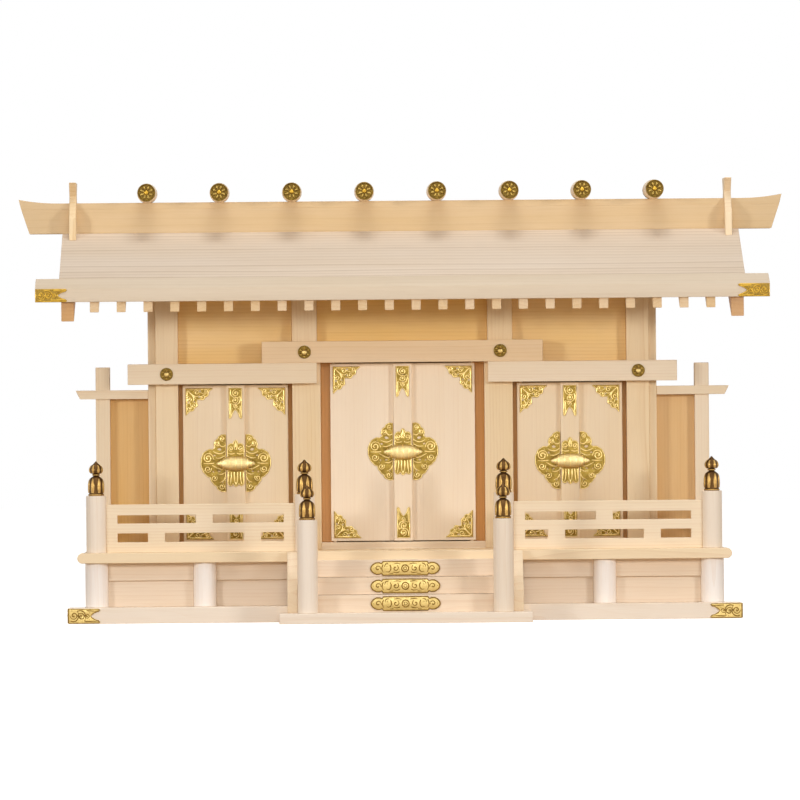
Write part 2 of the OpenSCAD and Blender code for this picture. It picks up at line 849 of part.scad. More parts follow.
// Only the front eave board runs on past the roof slopes
module eave_boards() {
    color(wood) {
        along_x(-eave_half, eave_half)
            slope_profile(eave_y, eave_y + eave_board_d, rafter_v, rafter_v + deck_v);
        along_x(-roof_w / 2, roof_w / 2)
            slope_profile(rear_eave_y - eave_board_d, rear_eave_y, rafter_v, rafter_v + deck_v);
    }
}

module eave_end_plates() {
    plate_in = 0.3;
    color(brass) both_sides() plate_on(eave_y)
        translate([eave_half - plate_in, deck_under(eave_y) + plate_in])
            mirror([1, 0]) tail_plate(eave_plate_l, deck_v - 2 * plate_in);
}

// The ridge beam sits over both slopes and is undercut at its ends
module ridge_beam() {
    half_d = ridge_d / 2;
    low_z = deck_top(ridge_y - half_d);
    color(wood) intersection() {
        along_x(-ridge_w / 2, ridge_w / 2) polygon([
            [ridge_y - half_d, low_z], [ridge_y, peak_top], [ridge_y + half_d, low_z],
            [ridge_y + half_d, ridge_cap_z], [ridge_y - half_d, ridge_cap_z],
        ]);
        along_y(ridge_y - half_d, ridge_y + half_d) polygon([
            [-ridge_low_half, low_z], [ridge_low_half, low_z], [ridge_cap_half, ridge_cap_z],
            [-ridge_cap_half, ridge_cap_z],
        ]);
    }
}

// Height of the flare at a share t of its length, rising ever faster to the end
function flare(t) = ridge_flare * t * t;

module ridge_cap() {
    half = ridge_w / 2;
    flare_x = half - ridge_flare_l;
    flare_steps = 5;
    curve = [for (i = [0 : flare_steps])
        [flare_x + ridge_flare_l * i / flare_steps, ridge_top + flare(i / flare_steps)]];
    mirrored = [for (i = [flare_steps : -1 : 0]) [-curve[i][0], curve[i][1]]];
    color(wood) along_y(ridge_y - ridge_d / 2, ridge_y + ridge_d / 2)
        polygon(concat([[-ridge_cap_half, ridge_cap_z]], mirrored, curve, [[ridge_cap_half, ridge_cap_z]]));
}

log_z = ridge_top + log_dia / 2 - log_seat;
log_y = ridge_y - log_l / 2;

module at_logs() {
    for (i = [0 : log_count - 1])
        translate([(i - (log_count - 1) / 2) * log_pitch, 0, 0]) children();
}

// Radius of a log at a share t of its half length, falling off as a shallow arc
function log_r(t) = log_dia / 2 - (log_dia - log_end_dia) / 2 * t * t;

// Barrel-shaped log: a shallow arc swept about the log's axis
module ridge_log() {
    log_steps = 5;
    edge = [for (i = [-log_steps : log_steps]) [log_r(i / log_steps), i / log_steps * log_l / 2]];
    translate([0, ridge_y, log_z]) rotate([90, 0, 0])
        rotate_extrude() polygon(concat([[0, -log_l / 2]], edge, [[0, log_l / 2]]));
}

module ridge_logs() {
    color(wood) at_logs() difference() {
        ridge_log();
        block(-log_dia, log_dia, ridge_y - log_l, ridge_y + log_l, ridge_top - log_dia, ridge_top);
    }
}

// Brass disc with a ring of petals
module log_caps() {
    petals = 8;
    petal_r = log_cap_dia * 0.16;
    color(bronze) at_logs() translate([0, 0, log_z]) plate_on(log_y, log_cap_t) {
        circle(d = log_cap_dia - petal_r);
        for (i = [0 : petals - 1]) rotate(i * 360 / petals)
            translate([log_cap_dia / 2 - petal_r, 0]) circle(r = petal_r);
    }
}

// Crossed boards cut from one plate, notched over the ridge, their feet cut upright on the slopes
module fork_profile() {
    cross_z = ridge_top + fork_cross;
    tip_z = ridge_top + fork_rise;
    reach = 3 * fork_rise + ridge_rise;
    difference() {
        intersection() {
            union() for (lean = [fork_angle, 180 - fork_angle])
                translate([ridge_y, cross_z]) rotate(lean)
                    square([2 * reach, fork_w], center = true);
            translate([ridge_y - fork_foot, tip_z - 2 * reach]) square([2 * fork_foot, 2 * reach]);
        }
        polygon([
            [ridge_y - 2 * reach, deck_top(ridge_y - 2 * reach)], [ridge_y, peak_top],
            [ridge_y + 2 * reach, deck_top(ridge_y + 2 * reach)],
            [ridge_y + 2 * reach, peak_top - 4 * reach], [ridge_y - 2 * reach, peak_top - 4 * reach],
        ]);
        translate([ridge_y - ridge_d / 2, peak_top - ridge_rise]) square([ridge_d, 2 * ridge_rise]);
    }
}

module forked_finials() {
    color(wood) both_sides() along_x(fork_x - fork_t / 2, fork_x + fork_t / 2) fork_profile();
}

wing_post_x0 = wall_outer_x + wing_panel_w;
wing_post_x1 = wing_x + wing_post_w / 2;
wing_post_y1 = wing_y + wing_post_w;

module wing_post() {
    block(wing_post_x0, wing_post_x1, wing_y, wing_post_y1, floor_top, floor_top + wing_post_h);
}

module wing_posts() {
    color(wood) both_sides() wing_post();
}

module wing_panels() {
    y0 = wing_y + wing_panel_in;
    color(shade_wood) both_sides() block(wall_outer_x, wing_post_x0, y0, y0 + wing_panel_t,
        floor_top, wing_cap_z);
}

// The cap passes over the panel and around the post
module wing_caps() {
    middle = wing_y + wing_post_w / 2;
    end = wing_post_x1 + wing_cap_out;
    color(wood) both_sides() difference() {
        along_y(middle - wing_cap_d / 2, middle + wing_cap_d / 2) polygon([
            [wall_outer_x, wing_cap_z], [end - wing_cap_slant, wing_cap_z],
            [end, wing_cap_z + wing_cap_h], [wall_outer_x, wing_cap_z + wing_cap_h],
        ]);
        wing_post();
    }
}

// One leaf, hinged at its outer edge on side -1 or 1; the right one carries the meeting strip
module leaf(bay, side) {
    half = bay_leaf_half[bay];
    h = bay_head_z[bay] - leaf_gap - leaf_z;
    color(wood) translate([bay_middle[bay], 0, 0]) {
        mirror([side < 0 ? 1 : 0, 0, 0]) {
            block(meeting_gap / 2, half, door_y, door_y + leaf_t, leaf_z, leaf_z + h);
            translate([half - pivot_in, pivot_y, sill_top - pivot_l])
                cylinder(r = pivot_r, h = h + 2 * leaf_gap + 2 * pivot_l);
        }
        if (side > 0) {
            block(meeting_gap / 2, strip_w / 2, door_y - strip_t, door_y, leaf_z, leaf_z + h);
            block(-strip_w / 2, meeting_gap / 2, door_y - strip_t, door_y - strip_clear,
                leaf_z, leaf_z + h);
        }
    }
}

// Triangular plate for the corner of a leaf, with a scalloped long edge
module corner_plate() {
    difference() {
        polygon([[0, 0], [corner_leg, 0], [0, corner_leg]]);
        translate([corner_leg / 2, corner_leg / 2]) circle(d = corner_leg * 0.36);
        for (t = [0.2, 0.8])
            translate([corner_leg * t, corner_leg * (1 - t)]) circle(d = corner_leg * 0.17);
    }
}

// Right half of the lobed ornament around the lock, beside the meeting strip
module lock_wing() {
    side_x = strip_w / 2 + strip_clear;
    span = lock_w / 2 - side_x;
    intersection() {
        union() {
            translate([side_x + span * 0.5, lock_h * 0.08]) circle(d = span);
            translate([side_x + span * 0.36, lock_h * 0.26]) circle(d = span * 0.66);
            translate([side_x + span * 0.2, lock_h * 0.41]) circle(d = lock_h * 0.18);
            translate([side_x + span * 0.42, -lock_h * 0.16]) circle(d = span * 0.8);
            translate([side_x + span * 0.16, -lock_h * 0.37]) circle(d = lock_h * 0.26);
        }
        translate([side_x, -lock_h / 2]) square([span, lock_h]);
    }
}

// Strap on the meeting strip with a notched inner end, hanging from its top edge
module strap() {
    difference() {
        translate([-strap_w / 2, -strap_l]) square([strap_w, strap_l]);
        translate([0, -strap_l]) circle(d = strap_w * 0.55);
    }
}

// Raised lock bar, thick in the middle and pointed at both ends
module lock_bar() {
    arc_r = (lock_bar_l * lock_bar_l + lock_bar_h * lock_bar_h) / (4 * lock_bar_h);
    intersection() {
        translate([0, lock_bar_h / 2 - arc_r]) circle(r = arc_r);
        translate([0, arc_r - lock_bar_h / 2]) circle(r = arc_r);
    }
}

lock_plate_h = lock_h * 0.78;

module fittings(bay, side) {
    half = bay_leaf_half[bay];
    h = bay_head_z[bay] - leaf_gap - leaf_z;
    middle_z = leaf_z + h / 2;
    strip_y = door_y - strip_t;
    color(brass) translate([bay_middle[bay], 0, 0]) {
        mirror([side < 0 ? 1 : 0, 0, 0]) {
            plate_on(door_y) {
                translate([half - corner_in, leaf_z + corner_in]) mirror([1, 0]) corner_plate();
                translate([half - corner_in, leaf_z + h - corner_in]) rotate(180) corner_plate();
                translate([0, middle_z]) lock_wing();
            }
        }
        if (side > 0) {
            plate_on(strip_y) {
                translate([0, leaf_z + h - corner_in]) strap();
                translate([0, leaf_z + corner_in]) mirror([0, 1]) strap();
            }
            plate_on(strip_y) translate([-strap_w / 2, middle_z - lock_plate_h / 2])
                square([strap_w, lock_plate_h]);
            plate_on(strip_y - brass_t, lock_bar_t) translate([0, middle_z]) lock_bar();
        }
    }
}

module left_bay_left_leaf() { leaf(0, -1); }
module left_bay_right_leaf() { leaf(0, 1); }
module left_bay_left_fittings() { fittings(0, -1); }
module left_bay_right_fittings() { fittings(0, 1); }
module centre_bay_left_leaf() { leaf(1, -1); }
module centre_bay_right_leaf() { leaf(1, 1); }
module centre_bay_left_fittings() { fittings(1, -1); }
module centre_bay_right_fittings() { fittings(1, 1); }
module right_bay_left_leaf() { leaf(2, -1); }
module right_bay_right_leaf() { leaf(2, 1); }
module right_bay_left_fittings() { fittings(2, -1); }
module right_bay_right_fittings() { fittings(2, 1); }

base_board();
front_platform();
base_corner_plates();
floor_posts();
floor_beams();
skirt_panels();
veranda_floor();
front_railings();
side_railings();
newel_posts();
newel_finials();
stair_steps();
stair_cheeks();
stair_plates();
pillars();
side_walls();
back_wall();
door_sills();
hall_floor();
door_heads();
side_beams();
centre_beam();
nail_covers();
upper_walls();
door_jambs();
wall_plates();
ridge_purlin();
rafters();
gable_boards();
front_roof_slope();
rear_roof_slope();
eave_boards();
eave_end_plates();
ridge_beam();
ridge_cap();
ridge_logs();
log_caps();
forked_finials();
wing_posts();
wing_panels();
wing_caps();
left_bay_left_leaf();
left_bay_right_leaf();
left_bay_left_fittings();
left_bay_right_fittings();
centre_bay_left_leaf();
centre_bay_right_leaf();
centre_bay_left_fittings();
centre_bay_right_fittings();
right_bay_left_leaf();
right_bay_right_leaf();
right_bay_left_fittings();
right_bay_right_fittings();
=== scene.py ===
# %% [markdown]
# A household shrine of pale cypress, three bays wide, with stamped brass mounts. The packed
# solids give every size and place. This lesson dresses them: each board gets softened arrises
# and its own grain, and each brass mount is modelled as the raised scrollwork that it is.

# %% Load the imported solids
import json
import math
import random

import bpy
import numpy as np
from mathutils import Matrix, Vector

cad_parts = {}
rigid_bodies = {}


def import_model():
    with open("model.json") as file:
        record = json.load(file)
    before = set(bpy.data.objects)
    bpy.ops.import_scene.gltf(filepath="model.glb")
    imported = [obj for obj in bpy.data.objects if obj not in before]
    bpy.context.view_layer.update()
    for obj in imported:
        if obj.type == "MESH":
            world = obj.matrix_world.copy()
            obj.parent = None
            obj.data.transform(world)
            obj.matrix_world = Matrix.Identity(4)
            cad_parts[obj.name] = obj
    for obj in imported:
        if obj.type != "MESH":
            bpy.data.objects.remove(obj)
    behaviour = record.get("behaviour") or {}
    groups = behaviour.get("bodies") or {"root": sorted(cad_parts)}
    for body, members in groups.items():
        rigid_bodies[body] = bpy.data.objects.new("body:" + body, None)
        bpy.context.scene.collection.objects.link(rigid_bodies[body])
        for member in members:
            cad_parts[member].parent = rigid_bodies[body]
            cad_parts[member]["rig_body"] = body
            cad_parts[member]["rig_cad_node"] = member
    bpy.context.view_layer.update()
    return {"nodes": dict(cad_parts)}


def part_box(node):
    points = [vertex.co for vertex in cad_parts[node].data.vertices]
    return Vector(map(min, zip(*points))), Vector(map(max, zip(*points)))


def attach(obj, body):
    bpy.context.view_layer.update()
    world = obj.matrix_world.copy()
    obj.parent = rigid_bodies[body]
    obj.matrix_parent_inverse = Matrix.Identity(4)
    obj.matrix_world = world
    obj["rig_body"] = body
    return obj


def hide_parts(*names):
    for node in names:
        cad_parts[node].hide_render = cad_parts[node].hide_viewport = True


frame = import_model()
MM = 0.001

# %% [markdown]
# The photograph was taken from far off with a long lens, a little above the floor line and
# with a slight lean. A camera can be placed by eye, but a handful of known corners gives it
# better: their places in the picture were fitted, and these are the numbers that came out.

# %% Camera
IMAGE_PX = 800
FOCAL_PX = 6852.53
SENSOR_MM = 36.0
CAMERA_PLACE = (-0.0687, -5.4792, 0.2008)
LOOK_DOWN = 0.0048
LEAN = 0.0085
LOOK_RIGHT = 0.0122
camera_data = bpy.data.cameras.new("camera")
camera_data.sensor_width = SENSOR_MM
camera_data.lens = SENSOR_MM * FOCAL_PX / IMAGE_PX
camera_data.clip_end = 50
camera = bpy.data.objects.new("camera", camera_data)
bpy.context.scene.collection.objects.link(camera)
camera.location = CAMERA_PLACE
camera.rotation_euler = (math.pi / 2 - LOOK_DOWN, LEAN, -LOOK_RIGHT)
bpy.context.scene.camera = camera
bpy.context.scene.view_settings.view_transform = "Standard"
print("lens", round(camera_data.lens, 1), "mm")

# %% [markdown]
# Materials are small networks of nodes. A few helpers keep them readable: the first puts a node in
# a tree and fills its sockets, and the others use it for a sum, a stretch, a noise or a blend, or
# open a new group or material. A number that never changes is written straight on its socket.

# %% Node helpers
def put(tree, kind, sockets=None, **settings):
    made = tree.nodes.new("ShaderNode" + kind)
    for name, value in settings.items():
        setattr(made, name, value)
    for key, value in (sockets or {}).items():
        if isinstance(value, bpy.types.NodeSocket):
            tree.links.new(value, made.inputs[key])
        else:
            made.inputs[key].default_value = value
    return made


def sum_of(tree, operation, first, second=0.0, third=0.0):
    return put(tree, "Math", {0: first, 1: second, 2: third}, operation=operation).outputs[0]


def stretched(tree, vector, factors):
    return put(tree, "VectorMath", {0: vector, 1: factors}, operation="MULTIPLY").outputs[0]


def noise(tree, vector, detail, scale=1.0):
    found = put(tree, "TexNoise", {"Vector": vector, "Scale": scale, "Detail": detail})
    return found.outputs["Fac"]


def blend_colour(tree, share, first, second):
    made = put(tree, "Mix", {0: share, 6: first, 7: second}, data_type="RGBA")
    return made.outputs[2]


def new_group(name, inputs, outputs):
    tree = bpy.data.node_groups.new(name, "ShaderNodeTree")
    for socket, kind in inputs:
        tree.interface.new_socket(socket, in_out="INPUT", socket_type="NodeSocket" + kind)
    for socket, kind in outputs:
        tree.interface.new_socket(socket, in_out="OUTPUT", socket_type="NodeSocket" + kind)
    return tree, tree.nodes.new("NodeGroupInput").outputs, tree.nodes.new("NodeGroupOutput").inputs


def new_material(name):
    material = bpy.data.materials.new(name)
    material.use_nodes = True
    tree = material.node_tree
    return material, tree, tree.nodes["Principled BSDF"].inputs


# %% [markdown]
# The picture has a plain white ground. One lamp straight overhead leaves the logs' shadows on the
# roof, one further forward lights the steps and rails, and a third far in front fills what the
# posts shade. Two lamps at the sides, the right one stronger, draw the thin shadows beside posts
# and strips. The camera and shiny metal see a white sky and a white floor. The light that both
# throw on the wood is weak and warm, since shaded wood is lit mostly by the wood around it.

# %% Light and floor
WHITE = (1, 1, 1, 1)
SKY_LIGHT = 0.08
SKY_COLOUR = (1.0, 0.62, 0.35, 1)
FLOOR_SIDE_M = 9
FLOOR_COLOUR = (0.50, 0.40, 0.31, 1)
FLOOR_GLOW = 0.95
LAMP_COLOUR = (0.96, 1.0, 1.06)
AIM = (0, 0, 0.18)
LAMPS = [
    ((-1.9, -1.6, 0.52), 0.38, 18.5),
    ((1.9, -1.6, 0.52), 0.38, 20.0),
    ((0.05, -0.32, 2.4), 0.8, 13.0),
    ((0, -1.3, 2.3), 2.2, 28.0),
    ((0, -3.2, 0.8), 0.9, 15.5),
]


def seen_directly(tree):
    path = put(tree, "LightPath").outputs
    seen = sum_of(tree, "MAXIMUM", path["Is Camera Ray"], path["Is Glossy Ray"])
    return sum_of(tree, "MAXIMUM", seen, path["Is Transmission Ray"])


world = bpy.data.worlds.new("white_ground")
bpy.context.scene.world = world
world.use_nodes = True
sky = world.node_tree
share = seen_directly(sky)
level = sum_of(sky, "ADD", sum_of(sky, "MULTIPLY", share, 1 - SKY_LIGHT), SKY_LIGHT)
sky.links.new(level, sky.nodes["Background"].inputs["Strength"])
sky.links.new(blend_colour(sky, share, SKY_COLOUR, WHITE), sky.nodes["Background"].inputs["Color"])

for place, size, power in LAMPS:
    lamp = bpy.data.lights.new("soft_lamp", "AREA")
    lamp.shape = "SQUARE"
    lamp.size = size
    lamp.energy = power
    lamp.color = LAMP_COLOUR
    stand = bpy.data.objects.new("soft_lamp", lamp)
    bpy.context.scene.collection.objects.link(stand)
    stand.location = place
    stand.rotation_euler = (stand.location - Vector(AIM)).to_track_quat("Z", "Y").to_euler()

bpy.ops.object.select_all(action="DESELECT")
bpy.ops.mesh.primitive_plane_add(size=FLOOR_SIDE_M)
floor = bpy.context.object
floor.name = "floor"
paper, tree, sockets = new_material("white_paper")
sockets["Base Color"].default_value = FLOOR_COLOUR
sockets["Roughness"].default_value = 0.9
sockets["Specular IOR Level"].default_value = 0.1
sockets["Emission Color"].default_value = WHITE
tree.links.new(sum_of(tree, "MULTIPLY", seen_directly(tree), FLOOR_GLOW), sockets["Emission Strength"])
floor.data.materials.append(paper)
print("lamps:", len(LAMPS), "sky light:", SKY_LIGHT)

# %% [markdown]
# Cypress shows straight year rings: a slow pale spring band that ends in a thin darker line,
# with fine fibres along the board. An image would repeat, so the rings are computed in space,
# as distance from the heart of the tree, and cut by the board's faces as a saw would cut them.
# A face sawn across the fibres drinks in the light, so end grain is mixed darker. Boards from different
# trees differ in tone, so each kind of piece has its own two colours and ring width. The woods of the upper
# walls, the wing panels and the jambs are also made darker and more orange as painted shade, for the shade
# they stand in, and the gable boards and wall plates get a darker orange wood.

# %% Grain of cypress
grain, given, out = new_group(
    "cypress_grain",
    [("Board", "Vector"), ("Tone", "Float"), ("End", "Float"), ("Pale", "Color"), ("Line", "Color"),
     ("Ring", "Float"), ("Contrast", "Float")],
    [("Colour", "Color"), ("Roughness", "Float"), ("Height", "Float")],
)
WANDER_MM = 7.0
RING_EDGE = 4.0
FINE_LINES = 3.3
FINE_EDGE = 3.0
FINE_SHARE = 0.35
FIBRE_SHARE = 0.5
END_SHARE = 0.5
RELIEF_M = 0.0002
slow = noise(grain, stretched(grain, given["Board"], (0.004, 0.03, 0.03)), 2.0)
across = put(grain, "VectorMath", {0: stretched(grain, given["Board"], (0, 1, 1))}, operation="LENGTH")
radius = sum_of(grain, "ADD", across.outputs["Value"], sum_of(grain, "MULTIPLY", slow, WANDER_MM))
rings = sum_of(grain, "DIVIDE", radius, given["Ring"])
late = sum_of(grain, "POWER", sum_of(grain, "FRACT", rings), RING_EDGE)
each = put(grain, "TexWhiteNoise", {"W": sum_of(grain, "FLOOR", rings)}, noise_dimensions="1D")
weight = sum_of(grain, "MULTIPLY_ADD", each.outputs["Value"], 0.75, 0.25)
thin = sum_of(grain, "FRACT", sum_of(grain, "MULTIPLY", rings, FINE_LINES))
thin = sum_of(grain, "MULTIPLY", sum_of(grain, "POWER", thin, FINE_EDGE), FINE_SHARE)
line = sum_of(grain, "MULTIPLY", sum_of(grain, "ADD", late, thin), weight)
fibre = noise(grain, stretched(grain, given["Board"], (0.05, 2.2, 2.2)), 4.0)
cloud = noise(grain, stretched(grain, given["Board"], (0.006, 0.05, 0.05)), 2.0)
streak = sum_of(grain, "MULTIPLY", sum_of(grain, "SUBTRACT", fibre, 0.5), FIBRE_SHARE)
lined = sum_of(grain, "ADD", sum_of(grain, "MULTIPLY", line, given["Contrast"]), streak)
share = sum_of(grain, "ADD", lined, sum_of(grain, "MULTIPLY", given["End"], END_SHARE))
share.node.use_clamp = True
stained = blend_colour(grain, share, given["Pale"], given["Line"])
deep = sum_of(grain, "ADD", sum_of(grain, "MULTIPLY", given["Tone"], 0.5), cloud)
finish = put(grain, "HueSaturation", {
    "Saturation": sum_of(grain, "ADD", sum_of(grain, "MULTIPLY", deep, 0.22), 0.83),
    "Value": sum_of(grain, "SUBTRACT", 1.05, sum_of(grain, "MULTIPLY", deep, 0.07)),
    "Color": stained,
})
grain.links.new(finish.outputs["Color"], out["Colour"])
rough = sum_of(grain, "ADD", sum_of(grain, "MULTIPLY", fibre, 0.25), 0.4)
grain.links.new(rough, out["Roughness"])
height = sum_of(grain, "ADD", sum_of(grain, "MULTIPLY", line, 0.6), fibre)
grain.links.new(height, out["Height"])


def cypress(name, pale, line_colour, ring, contrast):
    material, tree, sockets = new_material(name)
    look = put(tree, "Group", {
        "Board": put(tree, "Attribute", attribute_name="board").outputs["Vector"],
        "Tone": put(tree, "Attribute", attribute_name="tone").outputs["Fac"],
        "End": put(tree, "Attribute", attribute_name="end").outputs["Fac"],
        "Pale": (*pale, 1), "Line": (*line_colour, 1), "Ring": ring, "Contrast": contrast,
    }, node_tree=grain)
    tree.links.new(look.outputs["Colour"], sockets["Base Color"])
    tree.links.new(look.outputs["Roughness"], sockets["Roughness"])
    sockets["Specular IOR Level"].default_value = 0.3
    bump = put(tree, "Bump", {"Strength": 0.25, "Distance": RELIEF_M, "Height": look.outputs["Height"]})
    tree.links.new(bump.outputs["Normal"], sockets["Normal"])
    return material


pale_wood = cypress("pale_cypress", (0.87, 0.70, 0.48), (0.70, 0.44, 0.22), 2.4, 0.4)
post_wood = cypress("post_cypress", (0.93, 0.84, 0.74), (0.76, 0.55, 0.37), 2.2, 0.3)
newel_wood = cypress("newel_cypress", (0.87, 0.74, 0.585), (0.71, 0.49, 0.29), 2.2, 0.3)
warm_wood = cypress("warm_cypress", (0.87, 0.67, 0.41), (0.66, 0.40, 0.18), 2.6, 0.4)
beam_wood = cypress("beam_cypress", (0.83, 0.59, 0.33), (0.64, 0.37, 0.15), 2.8, 0.35)
skirt_wood = cypress("skirt_cypress", (0.83, 0.66, 0.48), (0.66, 0.42, 0.22), 2.8, 0.35)
roof_wood = cypress("roof_cypress", (0.71, 0.58, 0.44), (0.47, 0.33, 0.21), 5.4, 0.85)
eave_wood = cypress("eave_cypress", (0.70, 0.57, 0.415), (0.54, 0.39, 0.25), 5.4, 0.3)
ridge_wood = cypress("ridge_cypress", (0.69, 0.49, 0.265), (0.52, 0.31, 0.13), 5.0, 0.35)
door_wood = cypress("door_cypress", (0.93, 0.755, 0.54), (0.78, 0.54, 0.33), 3.4, 0.25)
side_door_wood = cypress("side_door_cypress", (0.875, 0.69, 0.45), (0.73, 0.49, 0.28), 3.4, 0.25)
# Wood tone of the upper walls, made deeper and more orange as painted shade for the shade under the eaves.
panel_wood_with_painted_shade = cypress("panel_cypress_with_painted_shade", (0.89, 0.585, 0.22), (0.68, 0.37, 0.11), 2.8, 0.4)
# Wood of the wing panels, darkened and made orange as painted shade for the shade behind the hall's side.
wing_wood_with_painted_shade = cypress("wing_cypress_with_painted_shade", (0.74, 0.46, 0.185), (0.58, 0.30, 0.10), 2.8, 0.35)
# The jambs' dark red is painted shade: the colour of the deep shaded gaps beside the leaves.
jamb_wood_with_painted_shade = cypress("jamb_cypress_with_painted_shade", (0.82, 0.43, 0.14), (0.60, 0.27, 0.07), 2.8, 0.4)
gable_wood = cypress("gable_cypress", (0.72, 0.43, 0.20), (0.54, 0.28, 0.10), 2.8, 0.35)

# %% [markdown]
# Every wooden part is a planed board with its sharp edges taken off. The solids have the right
# shape, so a copy of each is merged, cleared of its triangles and chamfered by a hair. Each
# loose board in it then gets its own place in an imagined log, which decides its grain.

# %% Planed boards
ARRIS_MM = 0.35
FINE_ARRIS_MM = 0.12
FINE_EDGED = ("stair_steps", "ridge_beam", "ridge_cap", "door_sills", "door_heads")
SMOOTH_BELOW = math.radians(35)


def only(obj):
    bpy.ops.object.select_all(action="DESELECT")
    obj.select_set(True)
    bpy.context.view_layer.objects.active = obj


def joined(pieces, name):
    bpy.ops.object.select_all(action="DESELECT")
    for piece in pieces:
        piece.select_set(True)
    bpy.context.view_layer.objects.active = pieces[0]
    if len(pieces) > 1:
        bpy.ops.object.join()
    made = bpy.context.active_object
    made.name = name
    return made


def apply_modifier(obj, kind, **settings):
    only(obj)
    modifier = obj.modifiers.new(kind.lower(), kind)
    for name, value in settings.items():
        setattr(modifier, name, value)
    bpy.ops.object.modifier_apply(modifier=modifier.name)


def loose_parts(mesh):
    spots = {}
    part = [spots.setdefault(tuple(round(c, 6) for c in v.co), v.index) for v in mesh.vertices]

    def root(i):
        while part[i] != i:
            part[i] = part[part[i]]
            i = part[i]
        return i

    for edge in mesh.edges:
        first, second = (root(v) for v in edge.vertices)
        part[first] = second
    return np.array([root(i) for i in range(len(part))])


def saw_from_log(mesh, draw):
    points = np.array([v.co for v in mesh.vertices]) / MM
    parts = loose_parts(mesh)
    board = np.zeros_like(points)
    tone = np.zeros(len(points))
    along = np.zeros_like(points)
    for part in sorted(set(parts)):
        here = parts == part
        middle = points[here].mean(0)
        axes = np.linalg.eigh(np.cov((points[here] - middle).T))[1][:, ::-1]
        axes = axes * np.where(axes[np.abs(axes).argmax(0), range(3)] < 0, -1, 1)
        heart = (draw.uniform(-400, 400), draw.uniform(120, 260), draw.uniform(-45, 45))
        board[here] = (points[here] - middle) @ axes + heart
        tone[here] = draw.random()
        along[here] = axes[:, 0]
    across = np.array([abs(face.normal.dot(along[face.vertices[0]])) for face in mesh.polygons])
    mesh.attributes.new("board", "FLOAT_VECTOR", "POINT").data.foreach_set("vector", board.ravel())
    mesh.attributes.new("tone", "FLOAT", "POINT").data.foreach_set("value", tone)
    mesh.attributes.new("end", "FLOAT", "FACE").data.foreach_set("value", across ** 2)
    return len(set(parts))


def finished(piece, arris, seed, material):
    apply_modifier(piece, "BEVEL", width=arris * MM, segments=1, limit_method="ANGLE",
                   angle_limit=SMOOTH_BELOW)
    bpy.ops.object.shade_smooth_by_angle(angle=SMOOTH_BELOW)
    boards = saw_from_log(piece.data, random.Random(seed))
    piece.data.materials.clear()
    piece.data.materials.append(material)
    return boards


def planed(node, material):
    only(frame["nodes"][node])
    bpy.ops.object.duplicate()
    piece = bpy.context.active_object
    piece.name = "planed_" + node
    del piece["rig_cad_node"]
    bpy.ops.mesh.customdata_custom_splitnormals_clear()
    bpy.ops.object.mode_set(mode="EDIT")
    bpy.ops.mesh.select_all(action="SELECT")
    bpy.ops.mesh.remove_doubles(threshold=1e-6)
    bpy.ops.mesh.dissolve_limited(angle_limit=math.radians(0.5))
    bpy.ops.object.mode_set(mode="OBJECT")
    arris = FINE_ARRIS_MM if node in FINE_EDGED or node.endswith("_leaf") else ARRIS_MM
    boards = finished(piece, arris, node, material)
    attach(piece, piece["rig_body"])
    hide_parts(node)
    return boards


finishes = {
    pale_wood: [
        "front_railings", "side_railings", "stair_cheeks", "door_sills", "hall_floor", "door_heads",
        "side_beams", "wing_posts", "wing_caps", "back_wall", "ridge_logs",
    ],
    post_wood: ["floor_posts"],
    newel_wood: ["base_board", "front_platform", "newel_posts"],
    warm_wood: ["veranda_floor", "rafters", "forked_finials", "pillars", "ridge_purlin", "side_walls"],
    gable_wood: ["wall_plates", "gable_boards"],
    beam_wood: ["centre_beam"],
    skirt_wood: ["floor_beams", "skirt_panels", "stair_steps"],
    roof_wood: ["front_roof_slope", "rear_roof_slope"],
    eave_wood: ["eave_boards"],
    ridge_wood: ["ridge_beam", "ridge_cap"],
    door_wood: ["centre_bay_left_leaf", "centre_bay_right_leaf"],
    side_door_wood: [bay + "_bay_" + side + "_leaf" for bay in ("left", "right")
                     for side in ("left", "right")],
    panel_wood_with_painted_shade: ["upper_walls"],
    wing_wood_with_painted_shade: ["wing_panels"],
    jamb_wood_with_painted_shade: ["door_jambs"],
}
board_count = sum(planed(node, wood) for wood, nodes in finishes.items() for node in nodes)
print("boards planed:", board_count, "in", len(finishes), "finishes")

# %% [markdown]
# Behind the leaves of each bay a thin stop runs along the sill and another under the head, so that
# the gap above and below the leaves shows brown wood and not the dark hall. They are laths with
# eased edges, joined to the jambs that they belong to. A leaf's box also holds its pivot pins, which
# reach as far into the head as into the sill, and that gives the height of the head.

# %% Door stops
STOP_CLEAR_MM = 2.8
STOP_THICK_MM = 3.0
STOP_TALL_MM = 4.0
stops = [bpy.data.objects["planed_door_jambs"]]
sill_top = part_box("door_sills")[1].z
for bay in ("left", "centre", "right"):
    low, left_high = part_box(bay + "_bay_left_leaf")
    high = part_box(bay + "_bay_right_leaf")[1]
    near = left_high.y + STOP_CLEAR_MM * MM
    pin_length = sill_top - low.z
    head_bottom = high.z - pin_length
    sill_stop = (sill_top, sill_top + STOP_TALL_MM * MM)
    head_stop = (head_bottom - STOP_TALL_MM * MM, head_bottom)
    for z0, z1 in (sill_stop, head_stop):
        bpy.ops.object.select_all(action="DESELECT")
        middle = ((low.x + high.x) / 2, near + STOP_THICK_MM * MM / 2, (z0 + z1) / 2)
        size = (high.x - low.x, STOP_THICK_MM * MM, z1 - z0)
        bpy.ops.mesh.primitive_cube_add(size=1, location=middle, scale=size)
        bpy.ops.object.transform_apply()
        lath = bpy.context.object
        finished(lath, ARRIS_MM, bay, beam_wood)
        stops.append(lath)
joined(stops, "planed_door_jambs")
print("door stops:", len(stops) - 1, "on sills at", round(sill_top / MM, 1), "mm")

# %% [markdown]
# Brass mounts are thin sheet, stamped so that scrolls stand up bright from a darker ground of
# tiny punched dots. Pairs of finishes tell that story, one for what stands up and one for the
# ground, and all share one group of nodes for the uneven tarnish that handling leaves.

